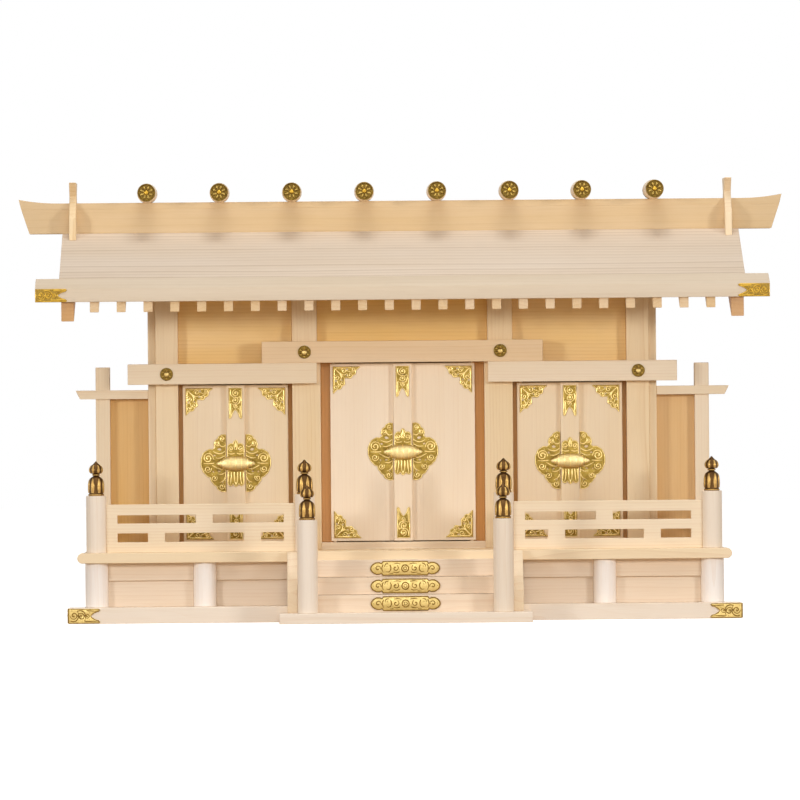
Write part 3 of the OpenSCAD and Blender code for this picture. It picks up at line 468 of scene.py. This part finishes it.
# %% Tarnished metal
tarnish, given, out = new_group(
    "tarnish",
    [("Vector", "Vector"), ("Clean", "Color"), ("Dull", "Color"), ("Amount", "Float"), ("Shine", "Float")],
    [("Colour", "Color"), ("Roughness", "Float"), ("Height", "Float")],
)
patch = noise(tarnish, given["Vector"], 3.0, 260.0)
speck = noise(tarnish, given["Vector"], 2.0, 2200.0)
dull = sum_of(tarnish, "ADD", sum_of(tarnish, "MULTIPLY", sum_of(tarnish, "SUBTRACT", patch, 0.35), 1.8),
              sum_of(tarnish, "MULTIPLY", sum_of(tarnish, "SUBTRACT", speck, 0.5), 0.8))
share = sum_of(tarnish, "MULTIPLY", dull, given["Amount"])
share.node.use_clamp = True
tarnish.links.new(blend_colour(tarnish, share, given["Clean"], given["Dull"]), out["Colour"])
tarnish.links.new(sum_of(tarnish, "ADD", sum_of(tarnish, "MULTIPLY", share, 0.22), given["Shine"]),
                  out["Roughness"])
punch = put(tarnish, "TexVoronoi", {"Vector": given["Vector"], "Scale": 1700.0})
dots = sum_of(tarnish, "SUBTRACT", 1.0, punch.outputs["Distance"])
tarnish.links.new(dots, out["Height"])


def metal(name, clean, dull_colour, amount, shine, punched):
    material, tree, sockets = new_material(name)
    look = put(tree, "Group", {
        "Vector": put(tree, "TexCoord").outputs["Object"],
        "Clean": (*clean, 1), "Dull": (*dull_colour, 1), "Amount": amount, "Shine": shine,
    }, node_tree=tarnish)
    tree.links.new(look.outputs["Colour"], sockets["Base Color"])
    tree.links.new(look.outputs["Roughness"], sockets["Roughness"])
    sockets["Metallic"].default_value = 1.0
    bump = put(tree, "Bump", {"Strength": punched, "Distance": RELIEF_M, "Height": look.outputs["Height"]})
    tree.links.new(bump.outputs["Normal"], sockets["Normal"])
    return material


brass_relief = metal("brass_relief", (0.86, 0.67, 0.29), (0.50, 0.34, 0.09), 0.8, 0.34, 0.05)
brass_ground = metal("brass_ground", (0.34, 0.225, 0.045), (0.14, 0.085, 0.015), 0.9, 0.42, 0.5)
deep_relief = metal("deep_brass_relief", (0.54, 0.33, 0.045), (0.32, 0.17, 0.02), 0.9, 0.36, 0.05)
deep_ground = metal("deep_brass_ground", (0.29, 0.18, 0.035), (0.15, 0.085, 0.015), 0.9, 0.42, 0.3)
light_brass = metal("light_brass", (0.60, 0.44, 0.165), (0.42, 0.29, 0.085), 0.8, 0.40, 0.15)
engraved = metal("engraved_brass", (0.24, 0.14, 0.03), (0.11, 0.06, 0.012), 0.8, 0.45, 0.1)
bar_brass = metal("bar_brass", (0.70, 0.55, 0.26), (0.44, 0.31, 0.10), 0.8, 0.42, 0.7)
bronze_ground = metal("bronze_ground", (0.11, 0.055, 0.018), (0.045, 0.022, 0.008), 0.9, 0.45, 0.2)
bronze_relief = metal("bronze_relief", (0.46, 0.28, 0.085), (0.18, 0.09, 0.025), 0.9, 0.34, 0.05)
olive_ground = metal("olive_ground", (0.19, 0.115, 0.022), (0.09, 0.05, 0.012), 0.9, 0.42, 0.2)
olive_relief = metal("olive_relief", (0.36, 0.24, 0.06), (0.18, 0.11, 0.025), 0.9, 0.36, 0.05)

# %% [markdown]
# Every mount is built the same way: a flat outline, perhaps with openings, gives the sheet, and
# tapered round strokes laid on it give the raised scrolls. A stroke is a curve with a round
# bevel whose radius shrinks along it. Curves become meshes before they are put in place.

# %% Sheet and strokes
SHEET_MM = 0.5
EDGE_MM = 0.12


def made_mesh(curve, name, material):
    piece = bpy.data.objects.new(name, curve)
    bpy.context.scene.collection.objects.link(piece)
    only(piece)
    bpy.ops.object.convert(target="MESH")
    piece = bpy.context.active_object
    piece.data.materials.clear()
    piece.data.materials.append(material)
    return piece


def sheet_of(outline, openings, material):
    curve = bpy.data.curves.new("outline", "CURVE")
    curve.dimensions = "2D"
    curve.fill_mode = "BOTH"
    curve.extrude = (SHEET_MM / 2 - EDGE_MM) * MM
    curve.bevel_depth = EDGE_MM * MM
    curve.bevel_resolution = 1
    curve.offset = -EDGE_MM * MM
    for edge in [outline, *openings]:
        spline = curve.splines.new("POLY")
        spline.points.add(len(edge) - 1)
        for point, (u, v) in zip(spline.points, edge):
            point.co = (u * MM, v * MM, 0, 1)
        spline.use_cyclic_u = True
    piece = made_mesh(curve, "sheet", material)
    piece.rotation_euler = (math.pi / 2, 0, 0)
    piece.location.y = -SHEET_MM / 2 * MM
    bpy.ops.object.transform_apply()
    return piece


def strokes_of(strokes, material):
    curve = bpy.data.curves.new("strokes", "CURVE")
    curve.dimensions = "3D"
    curve.bevel_depth = MM
    curve.bevel_resolution = 2
    curve.use_fill_caps = True
    curve.resolution_u = 3
    for points, form in strokes:
        spline = curve.splines.new("BEZIER")
        spline.bezier_points.add(len(points) - 1)
        for bend, (x, y, z, r) in zip(spline.bezier_points, points):
            bend.co = (x * MM, y * MM, z * MM)
            bend.radius = r
            bend.handle_left_type = bend.handle_right_type = "VECTOR" if form == "rim" else "AUTO"
        spline.use_cyclic_u = form != "open"
    return made_mesh(curve, "strokes", material)


def outward(piece):
    only(piece)
    bpy.ops.object.mode_set(mode="EDIT")
    bpy.ops.mesh.select_all(action="SELECT")
    bpy.ops.mesh.remove_doubles(threshold=1e-7)
    bpy.ops.mesh.normals_make_consistent(inside=False)
    bpy.ops.object.mode_set(mode="OBJECT")
    bpy.ops.object.shade_smooth_by_angle(angle=math.radians(50))
    return piece


def copy_at(pattern, place, flip=(1, 1, 1), turn=0.0):
    only(pattern)
    bpy.ops.object.duplicate()
    piece = bpy.context.active_object
    piece.scale = flip
    piece.rotation_euler.y = math.radians(turn)
    piece.location = place
    bpy.ops.object.transform_apply()
    return outward(piece)


def fitted(pieces, name, node):
    piece = joined(pieces, name)
    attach(piece, frame["nodes"][node]["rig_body"])
    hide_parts(node)
    print(name, len(piece.data.polygons), "faces")


# %% [markdown]
# Scrollwork needs few words: a curl that winds in on itself, a leaf that swells and runs out, a
# rim that follows the edge, and rows of scallops for the outline. Each is a list of points, so
# that every mount can be drawn with them in its own flat coordinates.

# %% Words of the scrollwork
FACE = -SHEET_MM + 0.05
SCALLOP_STEPS = 4


def flat(points, radii):
    return [(u, FACE, v, r) for (u, v), r in zip(points, radii)]


def polar(reach, angle):
    return reach * math.cos(angle), reach * math.sin(angle)


def curl(u, v, size, start, way=1, turns=1.4, thick=0.5):
    count = int(turns * 8)
    points = []
    radii = []
    for k in range(count + 1):
        du, dv = polar(size * (1 - 0.82 * k / count), math.radians(start + way * 45 * k))
        points.append((u + du, v + dv))
        radii.append(thick * (0.55 + 0.55 * k / count))
    return flat(points, radii), "open"


def leaf(points, thick=0.5, tip=0.12):
    last = len(points) - 1
    swells = [math.sin(math.pi * min(0.92, 0.25 + 0.75 * k / last)) for k in range(last + 1)]
    return flat(points, [tip + (thick - tip) * swell for swell in swells]), "open"


def sunk(stroke):
    points, form = stroke
    return [(x, y + 0.8 * r, z, r) for x, y, z, r in points], form


def bead(u, v, size):
    return flat([(u - 0.25 * size, v), (u + 0.25 * size, v)], [size, size]), "open"


def ring(u, v, size, thick=0.35):
    spokes = [polar(size, k * math.pi / 4) for k in range(8)]
    return flat([(u + du, v + dv) for du, dv in spokes], [thick] * 8), "loop"


def rim(outline, inset=0.45, thick=0.4):
    count = len(outline)
    points = []
    for k in range(count):
        (u0, v0), (u1, v1) = outline[k - 1], outline[(k + 1) % count]
        length = math.hypot(u1 - u0, v1 - v0) or 1
        u, v = outline[k]
        points.append((u - inset * (v1 - v0) / length, v + inset * (u1 - u0) / length))
    return flat(points, [thick] * count), "rim"


def opening(u, v, size, long=1.0, lean=0.0):
    cos, sin = polar(1, math.radians(lean))
    made = []
    for k in range(10):
        angle = -k * math.pi / 5
        du, dv = size * long * math.cos(angle), size * math.sin(angle)
        made.append((u + du * cos - dv * sin, v + du * sin + dv * cos))
    return made


def scalloped(corners, bulges):
    made = []
    for k, (u0, v0) in enumerate(corners):
        u1, v1 = corners[(k + 1) % len(corners)]
        bulge = bulges[k]
        for s in range(SCALLOP_STEPS if bulge else 1):
            t = s / SCALLOP_STEPS
            swell = bulge * math.sin(math.pi * t)
            length = math.hypot(u1 - u0, v1 - v0) or 1
            made.append((u0 + (u1 - u0) * t + swell * (v1 - v0) / length,
                         v0 + (v1 - v0) * t - swell * (u1 - u0) / length))
    return made


def mirrored(strokes):
    return [([(-x, y, z, r) for x, y, z, r in points], form) for points, form in strokes]


def stamped(outline, openings, strokes, relief=brass_relief, ground=brass_ground):
    parts = [sheet_of(outline, openings, ground), strokes_of(strokes, relief)]
    return outward(joined(parts, "pattern"))


def solid_boxes(node):
    mesh = frame["nodes"][node].data
    points = np.array([v.co for v in mesh.vertices])
    parts = loose_parts(mesh)
    boxes = [(points[parts == part].min(0), points[parts == part].max(0)) for part in sorted(set(parts))]
    return sorted(boxes, key=lambda box: tuple(box[0]))


def copies_on(pattern, node):
    made = []
    for low, high in solid_boxes(node):
        made.append(copy_at(pattern, ((low[0] + high[0]) / 2, high[1], (low[2] + high[2]) / 2)))
    return made


def discard(*patterns):
    for pattern in patterns:
        bpy.data.objects.remove(pattern)


# %% [markdown]
# The doors carry the richest mounts. Each leaf has a corner plate above and below, cut as two
# pointed arms with lobes between them. One plate is drawn from its right-angled corner and then
# mirrored into the other places.

# %% Corner plates
def corner_plate():
    radii = [(0, 21.6), (3, 21.3), (7, 19.8), (11, 19.0), (15, 19.4), (20, 19.3), (24, 17.9), (28, 17.4),
             (32, 17.7), (36, 16.8), (40, 14.8), (45, 13.4)]
    radii += [(90 - a, r) for a, r in radii[-2::-1]]
    outline = [(0, 0)] + [polar(r, math.radians(a)) for a, r in radii]
    half = [
        curl(16.4, 2.6, 1.9, 150, -1), curl(13.9, 7.0, 2.3, 200, -1), curl(8.8, 3.4, 2.3, 190, 1),
        leaf([(2.2, 1.4), (5.5, 1.2), (10.5, 1.2), (15.0, 1.1), (19.5, 0.9)], 0.42),
        leaf([(3.0, 3.0), (6.5, 6.0), (9.6, 6.6), (11.6, 5.2)], 0.55),
        leaf([(11.2, 3.2), (13.6, 4.2), (16.2, 5.4)], 0.5), bead(11.2, 8.8, 0.6),
    ]
    other = [([(z, y, x, r) for x, y, z, r in points], form) for points, form in half]
    heart = [leaf([(2.0, 2.0), (5.0, 5.0), (8.6, 8.6)], 0.75), bead(1.6, 1.6, 0.7)]
    holes = [opening(11.5, 2.3, 0.55, 1.8), opening(2.3, 11.5, 0.55, 1.8, 90),
             opening(11.0, 7.1, 0.5, 1.6, 30), opening(7.1, 11.0, 0.5, 1.6, 60)]
    return stamped(outline, holes, half + other + heart + [rim(outline)])


corner = corner_plate()

# %% [markdown]
# Straps sit at both ends of the strip that covers the meeting doors, and plates of the same
# form close the corners of the base and the ends of the eave board. All have a square end and a
# swallow-tail end, and a vine of curls in between.

# %% Straps and tail plates
TAIL_PLATE_MM = 25.0
STRAP_WIDE_MM = 10.7


def tail_plate(height, relief=brass_relief, ground=brass_ground):
    half = height / 2
    end = TAIL_PLATE_MM
    leg = [(end - 1.2, half), (end, 0.80 * half), (end - 1.5, 0.55 * half), (end - 3.0, 0.50 * half),
           (end - 4.6, 0.38 * half), (end - 6.4, 0.16 * half)]
    outline = [(0, -half)] + [(u, -v) for u, v in leg] + [(end - 7.4, 0)] + leg[::-1] + [(0, half)]
    k = height / STRAP_WIDE_MM
    vine = [
        curl(4.2, 0.4 * k, 2.9 * k, 180, 1, thick=0.55), curl(10.0, -0.4 * k, 2.9 * k, 180, -1, thick=0.55),
        curl(14.8, 0.2 * k, 1.9 * k, 180, 1, thick=0.5),
        leaf([(1.6, -3.6 * k), (4.0, -3.9 * k), (6.8, -2.6 * k), (7.8, 1.8 * k), (6.6, 3.8 * k)], 0.5),
        leaf([(6.8, 3.7 * k), (10.0, 3.9 * k), (12.6, 2.4 * k), (13.2, -1.8 * k), (12.4, -3.7 * k)], 0.5),
        leaf([(12.6, -3.9 * k), (17.0, -3.8 * k), (20.6, -3.7 * k), (24.0, -4.1 * k)], 0.5),
        leaf([(14.2, 3.9 * k), (17.6, 3.8 * k), (20.8, 3.7 * k), (24.0, 4.1 * k)], 0.5),
        bead(2.2, 3.6 * k, 0.55), bead(10.6, -3.9 * k, 0.4), bead(4.2, 0.4 * k, 0.7),
        bead(10.0, -0.4 * k, 0.7), bead(16.6, 2.4 * k, 0.5), bead(16.6, -2.4 * k, 0.5),
    ]
    holes = [opening(7.2, 0.2, 0.45, 1.5, 90), opening(12.6, 0.4, 0.45, 1.3, 90)]
    return stamped(outline, holes, vine + [rim(outline, 0.42, 0.36)], relief, ground)


strap = tail_plate(STRAP_WIDE_MM)

# %% [markdown]
# The lock ornament spreads from the strip like two wings, in scalloped lobes full of curls. Each
# wing belongs to its own leaf, so that the pair parts when the doors open. The plate on the strip
# and the spindle-shaped bar across it stay with the right-hand leaf.

# %% Lock wings, plate and bar
def lock_wing():
    corners = [
        (7.7, -22.2), (13.6, -21.6), (15.6, -18.4), (18.8, -15.4), (20.6, -11.4), (24.4, -8.8),
        (27.0, -4.6), (28.2, 1.0), (27.0, 6.4), (23.6, 10.6), (18.6, 11.6), (16.8, 13.2), (17.2, 17.0),
        (14.4, 20.2), (12.4, 22.8), (7.7, 23.0),
    ]
    bulges = [0.9, 0.5, 0.6, 0.6, 0.6, 0.6, 0.5, 0.5, 0.7, 0.7, 0, 0.7, 0.6, 0.5, 0.7, 0]
    outline = scalloped(corners, bulges)
    vine = [
        curl(10.6, 20.0, 2.1, 250, 1), curl(14.6, 16.0, 2.0, 200, 1),
        curl(22.2, 4.4, 4.3, 190, -1, 1.8, 0.65), curl(22.4, -4.4, 2.9, 160, 1, 1.5, 0.55),
        curl(17.4, -11.6, 2.5, 140, 1), curl(11.4, -18.4, 2.5, 120, 1),
        leaf([(8.3, 14.6), (10.2, 13.4), (12.8, 15.0), (13.6, 18.0)], 0.55),
        leaf([(8.3, 10.0), (12.0, 8.0), (15.4, 8.4), (18.0, 9.8)], 0.65),
        leaf([(8.3, 6.4), (12.6, 4.4), (16.0, 4.6)], 0.6),
        leaf([(8.3, -3.2), (12.0, -4.4), (16.6, -2.6), (19.0, -1.2)], 0.65),
        leaf([(8.3, -7.0), (11.6, -8.6), (14.6, -8.2)], 0.6),
        leaf([(8.3, -10.6), (9.8, -13.6), (13.0, -15.2)], 0.6),
        leaf([(17.4, 0.4), (20.4, 0.0), (25.8, 0.2)], 0.6), bead(25.6, 6.6, 0.6), bead(25.4, -5.8, 0.55),
        bead(20.6, 9.4, 0.6), bead(14.2, -18.4, 0.55), bead(19.0, -8.8, 0.6), bead(9.2, 17.0, 0.6),
    ]
    holes = [
        opening(13.0, 11.4, 1.0, 1.6, 10), opening(17.0, 6.6, 0.6, 1.6, 20),
        opening(13.4, -6.2, 0.6, 1.7, -10), opening(18.0, -6.4, 0.5, 1.5, 60),
        opening(10.6, -14.8, 0.6, 1.6, 110), opening(11.6, 1.0, 0.8, 2.2, 0),
    ]
    # These low dark bronze spots beside the strip and at the outer lobe are painted shade for the deep
    # recesses there.
    painted_shade_spots = [
        leaf([(8.4, 4.4), (10.0, 4.9), (11.6, 3.8)], 1.0),
        leaf([(8.6, -6.2), (10.4, -6.8), (12.0, -8.0)], 0.9),
        leaf([(19.6, -6.6), (20.8, -7.6), (21.4, -9.0)], 0.8),
        leaf([(26.6, 1.0), (26.9, -1.6), (26.0, -4.0)], 0.7),
    ]
    made = stamped(outline, holes, vine + [rim(outline, 0.4, 0.34)])
    return outward(joined([made, strokes_of([sunk(shade_spot) for shade_spot in painted_shade_spots], bronze_ground)], "pattern"))


def lock_plate():
    corners = [
        (6.9, -15.4), (6.9, 13.0), (4.4, 16.4), (2.2, 15.8), (0, 19.2), (-2.2, 15.8), (-4.4, 16.4),
        (-6.9, 13.0), (-6.9, -15.4), (-4.6, -18.2), (-2.3, -16.4), (0, -18.8), (2.3, -16.4), (4.6, -18.2),
    ]
    outline = scalloped(corners, [0, 0.6, 0.4, 0.6, 0.6, 0.4, 0.6, 0, 0.5, 0.4, 0.4, 0.4, 0.4, 0.5])
    half = [
        curl(3.7, 12.0, 2.3, 250, 1), leaf([(0.9, 8.2), (3.6, 7.6), (6.0, 8.2)], 0.6),
        leaf([(0.6, 11.0), (1.2, 13.4), (0.8, 16.0)], 0.5),
        leaf([(1.3, -6.6), (1.3, -11.0), (1.1, -15.4)], 0.65),
        leaf([(3.6, -6.6), (3.7, -11.4), (4.5, -16.6)], 0.65),
        leaf([(5.7, -6.6), (5.8, -10.4), (6.1, -14.4)], 0.55),
    ]
    heart = [leaf([(0, 13.2), (0, 15.6), (0, 18.2)], 0.7), leaf([(0, -15.0), (0, -16.6), (0, -18.0)], 0.6)]
    return stamped(outline, [], half + mirrored(half) + heart + [rim(outline, 0.4, 0.34)])


def spun(profile, axis, material, steps=36):
    curve = bpy.data.curves.new("profile", "CURVE")
    curve.dimensions = "3D"
    spline = curve.splines.new("POLY")
    spline.points.add(len(profile) - 1)
    for point, (x, z) in zip(spline.points, profile):
        point.co = (x * MM, 0, z * MM, 1)
    piece = made_mesh(curve, "spun", material)
    bpy.ops.object.mode_set(mode="EDIT")
    bpy.ops.mesh.select_all(action="SELECT")
    bpy.ops.mesh.spin(steps=steps, angle=2 * math.pi, center=(0, 0, 0), axis=axis)
    bpy.ops.object.mode_set(mode="OBJECT")
    return outward(piece)


BAR_FLATNESS = 0.6
BAR_COLLARS = ((0, 5.8, 0.5), (4.6, 5.5, 0.4), (9.4, 4.3, 0.45), (12.2, 2.5, 0.4))


def lock_bar():
    profile = [(-15.6, 0), (-15.2, 0.9), (-14.0, 1.7), (-12.6, 2.2), (-11.4, 2.9), (-9.6, 4.3), (-7.2, 5.3),
               (-4.0, 5.8), (0.0, 6.0)]
    profile += [(-x, r) for x, r in profile[-2::-1]]
    collars = []
    for along, reach, thick in BAR_COLLARS:
        for x in sorted({along, -along}):
            turn = [(x, *polar(reach, k * math.pi / 8), thick) for k in range(16)]
            collars.append((turn, "loop"))
    piece = joined([spun(profile, (1, 0, 0), bar_brass), strokes_of(collars, brass_relief)], "pattern")
    only(piece)
    piece.scale.y = BAR_FLATNESS
    bpy.ops.object.transform_apply()
    return outward(piece)


wing = lock_wing()
plate = lock_plate()
bar = lock_bar()

# %% [markdown]
# The patterns are now copied to every leaf, mirrored where needed and joined to one piece for
# each leaf. Places come from the boxes of the solids, so that they follow a change of size.

# %% Mounts on the doors
BAR_LIFT_MM = 1.4
for bay in ("left", "centre", "right"):
    low, left_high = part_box(bay + "_bay_left_fittings")
    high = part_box(bay + "_bay_right_fittings")[1]
    face = left_high.y
    strip_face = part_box(bay + "_bay_right_leaf")[0].y
    mid_x = (low.x + high.x) / 2
    mid_z = (low.z + high.z) / 2
    for side, sign, edge in (("left", 1, low.x), ("right", -1, high.x)):
        pieces = [
            copy_at(corner, (edge, face, low.z), (sign, 1, 1)),
            copy_at(corner, (edge, face, high.z), (sign, 1, -1)),
            copy_at(wing, (mid_x, face, mid_z), (-sign, 1, 1)),
        ]
        if side == "right":
            pieces += [
                copy_at(strap, (mid_x, strip_face, high.z), turn=90),
                copy_at(strap, (mid_x, strip_face, low.z), turn=-90),
                copy_at(plate, (mid_x, strip_face, mid_z)),
                copy_at(bar, (mid_x, strip_face - BAR_LIFT_MM * MM, mid_z)),
            ]
        stem = bay + "_bay_" + side
        fitted(pieces, stem + "_mounts", stem + "_fittings")
discard(corner, strap, wing, plate, bar)

# %% [markdown]
# The base corners are bent round the edge, so each is two of the tail plates that meet there. The
# eave board has one on its face at each end, and the risers of the stairs have a long plate with
# lobed ends and a rosette in the middle.

# %% Base, eave and stair plates
low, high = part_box("base_corner_plates")
board_low, board_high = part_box("base_board")
mid_z = (low.z + high.z) / 2
base_plate = tail_plate((high.z - low.z) / MM, engraved, light_brass)
shorter = (high.y - board_low.y) / (TAIL_PLATE_MM * MM)
pieces = []
for sign, edge in ((1, board_low.x), (-1, board_high.x)):
    pieces.append(copy_at(base_plate, (edge, board_low.y, mid_z), (sign, 1, 1)))
    flank = copy_at(base_plate, (0, 0, 0), (shorter, 1, 1))
    flank.rotation_euler.z = math.radians(90)
    flank.scale.y = -sign
    flank.location = (edge, board_low.y, mid_z)
    bpy.ops.object.transform_apply()
    pieces.append(outward(flank))
fitted(pieces, "base_corner_mounts", "base_corner_plates")

low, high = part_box("eave_end_plates")
eave = tail_plate((high.z - low.z) / MM, deep_relief, deep_ground)
pieces = [copy_at(eave, (edge, high.y, (low.z + high.z) / 2), (sign, 1, 1))
          for sign, edge in ((1, low.x), (-1, high.x))]
fitted(pieces, "eave_end_mounts", "eave_end_plates")

STAIR_PLATE_TALL_MM = 11.4


def stair_plate(length, height):
    half = height / 2
    end = length / 2
    quarter = [
        (0, half), (end - 10.0, half), (end - 8.8, 0.72 * half), (end - 7.2, 0.86 * half),
        (end - 4.4, 0.84 * half), (end - 1.9, 0.60 * half), (end - 0.4, 0.28 * half), (end, 0),
    ]
    right = quarter + [(u, -v) for u, v in quarter[-2:0:-1]]
    outline = [(u, -v) for u, v in right] + [(-u, v) for u, v in right]
    k = height / STAIR_PLATE_TALL_MM
    side = [
        curl(7.6, 0.2 * k, 2.6 * k, 120, 1, 1.0, 0.5),
        leaf([(4.4, -2.6 * k), (6.4, -3.4 * k), (9.6, -3.0 * k)], 0.45),
        leaf([(12.0, 2.8 * k), (11.2, 0.4 * k), (12.6, -2.6 * k), (15.0, -2.4 * k)], 0.5),
        bead(14.4, 1.6 * k, 0.6), curl(21.6, 0.0, 2.5 * k, 200, -1, 1.1, 0.5),
        leaf([(17.4, 3.2 * k), (18.4, 0.0), (17.4, -3.2 * k)], 0.5),
        leaf([(3.6, 3.4 * k), (6.2, 4.0 * k), (9.4, 3.6 * k)], 0.4),
        leaf([(9.6, -4.0 * k), (12.6, -4.2 * k)], 0.4),
        leaf([(13.4, 3.9 * k), (15.4, 3.4 * k), (16.4, 1.2 * k)], 0.45), bead(25.4, 0.0, 0.5),
    ]
    vine = [ring(0, 0, 2.7 * k, 0.5), ring(0, 0, 1.2 * k, 0.3)] + side + mirrored(side)
    return stamped(outline, [], vine + [rim(outline, 0.35, 0.5)], engraved, light_brass)


low, high = solid_boxes("stair_plates")[0]
stair = stair_plate((high[0] - low[0]) / MM, (high[2] - low[2]) / MM)
fitted(copies_on(stair, "stair_plates"), "stair_mounts", "stair_plates")
discard(base_plate, eave, stair)

# %% [markdown]
# Round covers hide the nails where the beams cross the pillars, and flower caps close the ends
# of the ridge logs. Both start as a disc whose face is inset and pressed in, and the petals are
# short fat strokes set in a ring.

# %% Rosettes
DISC_SIDES = 48
LIP_MM = 0.18
PETAL_FORM = ((0.0, 0.45), (0.35, 0.8), (0.7, 1.0), (1.0, 0.7))
DOME_CUT = 0.35
DOME_FLATNESS = 0.7


def dish(radius, depth, rim_width, sink, material):
    bpy.ops.object.select_all(action="DESELECT")
    bpy.ops.mesh.primitive_cylinder_add(vertices=DISC_SIDES, radius=radius * MM, depth=depth * MM,
                                        rotation=(math.pi / 2, 0, 0), location=(0, -depth / 2 * MM, 0))
    piece = bpy.context.object
    bpy.ops.object.transform_apply()
    front = min(piece.data.polygons, key=lambda face: face.center.y).index
    for face in piece.data.polygons:
        face.select = face.index == front
    bpy.ops.object.mode_set(mode="EDIT")
    bpy.ops.mesh.select_mode(type="FACE")
    bpy.ops.mesh.inset(thickness=rim_width * MM)
    bpy.ops.mesh.inset(thickness=sink * 0.6 * MM, depth=-sink * MM)
    bpy.ops.object.mode_set(mode="OBJECT")
    apply_modifier(piece, "BEVEL", width=LIP_MM * MM, segments=2, limit_method="ANGLE",
                   angle_limit=math.radians(40))
    piece.data.materials.append(material)
    return piece


def petals(count, near, far, thick, depth):
    made = []
    for k in range(count):
        points = []
        for share, size in PETAL_FORM:
            x, z = polar(near + (far - near) * share, 2 * math.pi * (k + 0.5) / count)
            points.append((x, -depth, z, thick * size))
        made.append((points, "open"))
    return made


def dome(radius, depth, material):
    bpy.ops.object.select_all(action="DESELECT")
    bpy.ops.mesh.primitive_uv_sphere_add(segments=24, ring_count=12, radius=radius * MM,
                                         location=(0, -depth * MM, 0))
    piece = bpy.context.object
    bpy.ops.object.mode_set(mode="EDIT")
    bpy.ops.mesh.bisect(plane_co=(0, (-depth + radius * DOME_CUT) * MM, 0), plane_no=(0, 1, 0),
                        use_fill=True, clear_outer=True)
    bpy.ops.object.mode_set(mode="OBJECT")
    piece.scale.y = DOME_FLATNESS
    bpy.ops.object.transform_apply()
    piece.data.materials.append(material)
    return piece


cover = outward(joined([
    dish(5.5, 0.9, 0.7, 0.3, olive_ground), strokes_of(petals(6, 2.2, 4.2, 1.15, 0.75), olive_relief),
    dome(2.2, 1.0, light_brass),
], "pattern"))
fitted(copies_on(cover, "nail_covers"), "nail_rosettes", "nail_covers")

flower = outward(joined([
    dish(7.2, 1.8, 0.8, 0.6, olive_ground), strokes_of(petals(8, 2.3, 5.2, 1.25, 1.35), olive_relief),
    strokes_of([ring(0, 0, 6.5, 0.45)], olive_ground), dome(1.9, 1.5, deep_relief),
], "pattern"))
fitted(copies_on(flower, "log_caps"), "log_end_flowers", "log_caps")
discard(cover, flower)

# %% [markdown]
# Each newel ends in an onion-shaped cap of dark bronze, with upright petals round its socket and
# bulb. The body is a profile spun about its axis, and the petals are strokes that follow the
# same profile, so they lie on it all the way up.

# %% Newel caps
CAP_PROFILE = [
    (0.0, 0.0), (6.1, 0.0), (6.1, 1.3), (5.6, 1.6), (5.5, 6.0), (5.45, 10.6), (5.2, 12.2), (4.6, 13.4),
    (3.5, 14.3), (2.5, 14.9), (2.2, 15.4), (2.8, 15.8), (2.8, 16.2), (2.4, 16.6), (3.6, 17.2), (4.5, 18.2),
    (4.9, 19.6), (4.7, 21.2), (4.0, 22.5), (2.9, 23.7), (1.7, 24.8), (1.0, 25.6), (0.5, 26.2), (0.0, 26.4),
]
CAP_TALL_MM = CAP_PROFILE[-1][1]
RIB_COUNT = 6
RIB_SINK = 0.45
RIB_RUNS = (
    ((2.2, 1.3), (5.0, 1.8), (8.4, 1.75), (11.2, 1.2), (13.2, 0.45)),
    ((17.2, 0.6), (18.4, 1.2), (19.8, 1.4), (21.6, 1.0), (23.4, 0.5)),
)
BANDS = ((5.8, 0.7, 0.55), (2.8, 16.0, 0.5))


def cap_radius(z):
    for (r0, z0), (r1, z1) in zip(CAP_PROFILE[2:], CAP_PROFILE[3:]):
        if z0 <= z <= z1:
            return r0 + (r1 - r0) * (z - z0) / (z1 - z0)
    return 0.0


def newel_cap():
    body = spun(CAP_PROFILE, (0, 0, 1), bronze_ground, 40)
    ribs = []
    for k in range(RIB_COUNT):
        angle = 2 * math.pi * k / RIB_COUNT
        for run in RIB_RUNS:
            points = [(*polar(cap_radius(z) - RIB_SINK * size, angle), z, size) for z, size in run]
            ribs.append((points, "open"))
    for reach, z, size in BANDS:
        band = [(*polar(reach, k * math.pi / 8), z, size) for k in range(16)]
        ribs.append((band, "loop"))
    return outward(joined([body, strokes_of(ribs, bronze_relief)], "pattern"))


cap = newel_cap()
pieces = []
for low, high in solid_boxes("newel_finials"):
    taller = (high[2] - low[2]) / (CAP_TALL_MM * MM)
    pieces.append(copy_at(cap, ((low[0] + high[0]) / 2, (low[1] + high[1]) / 2, low[2]), (1, 1, taller)))
fitted(pieces, "newel_caps", "newel_finials")
discard(cap)
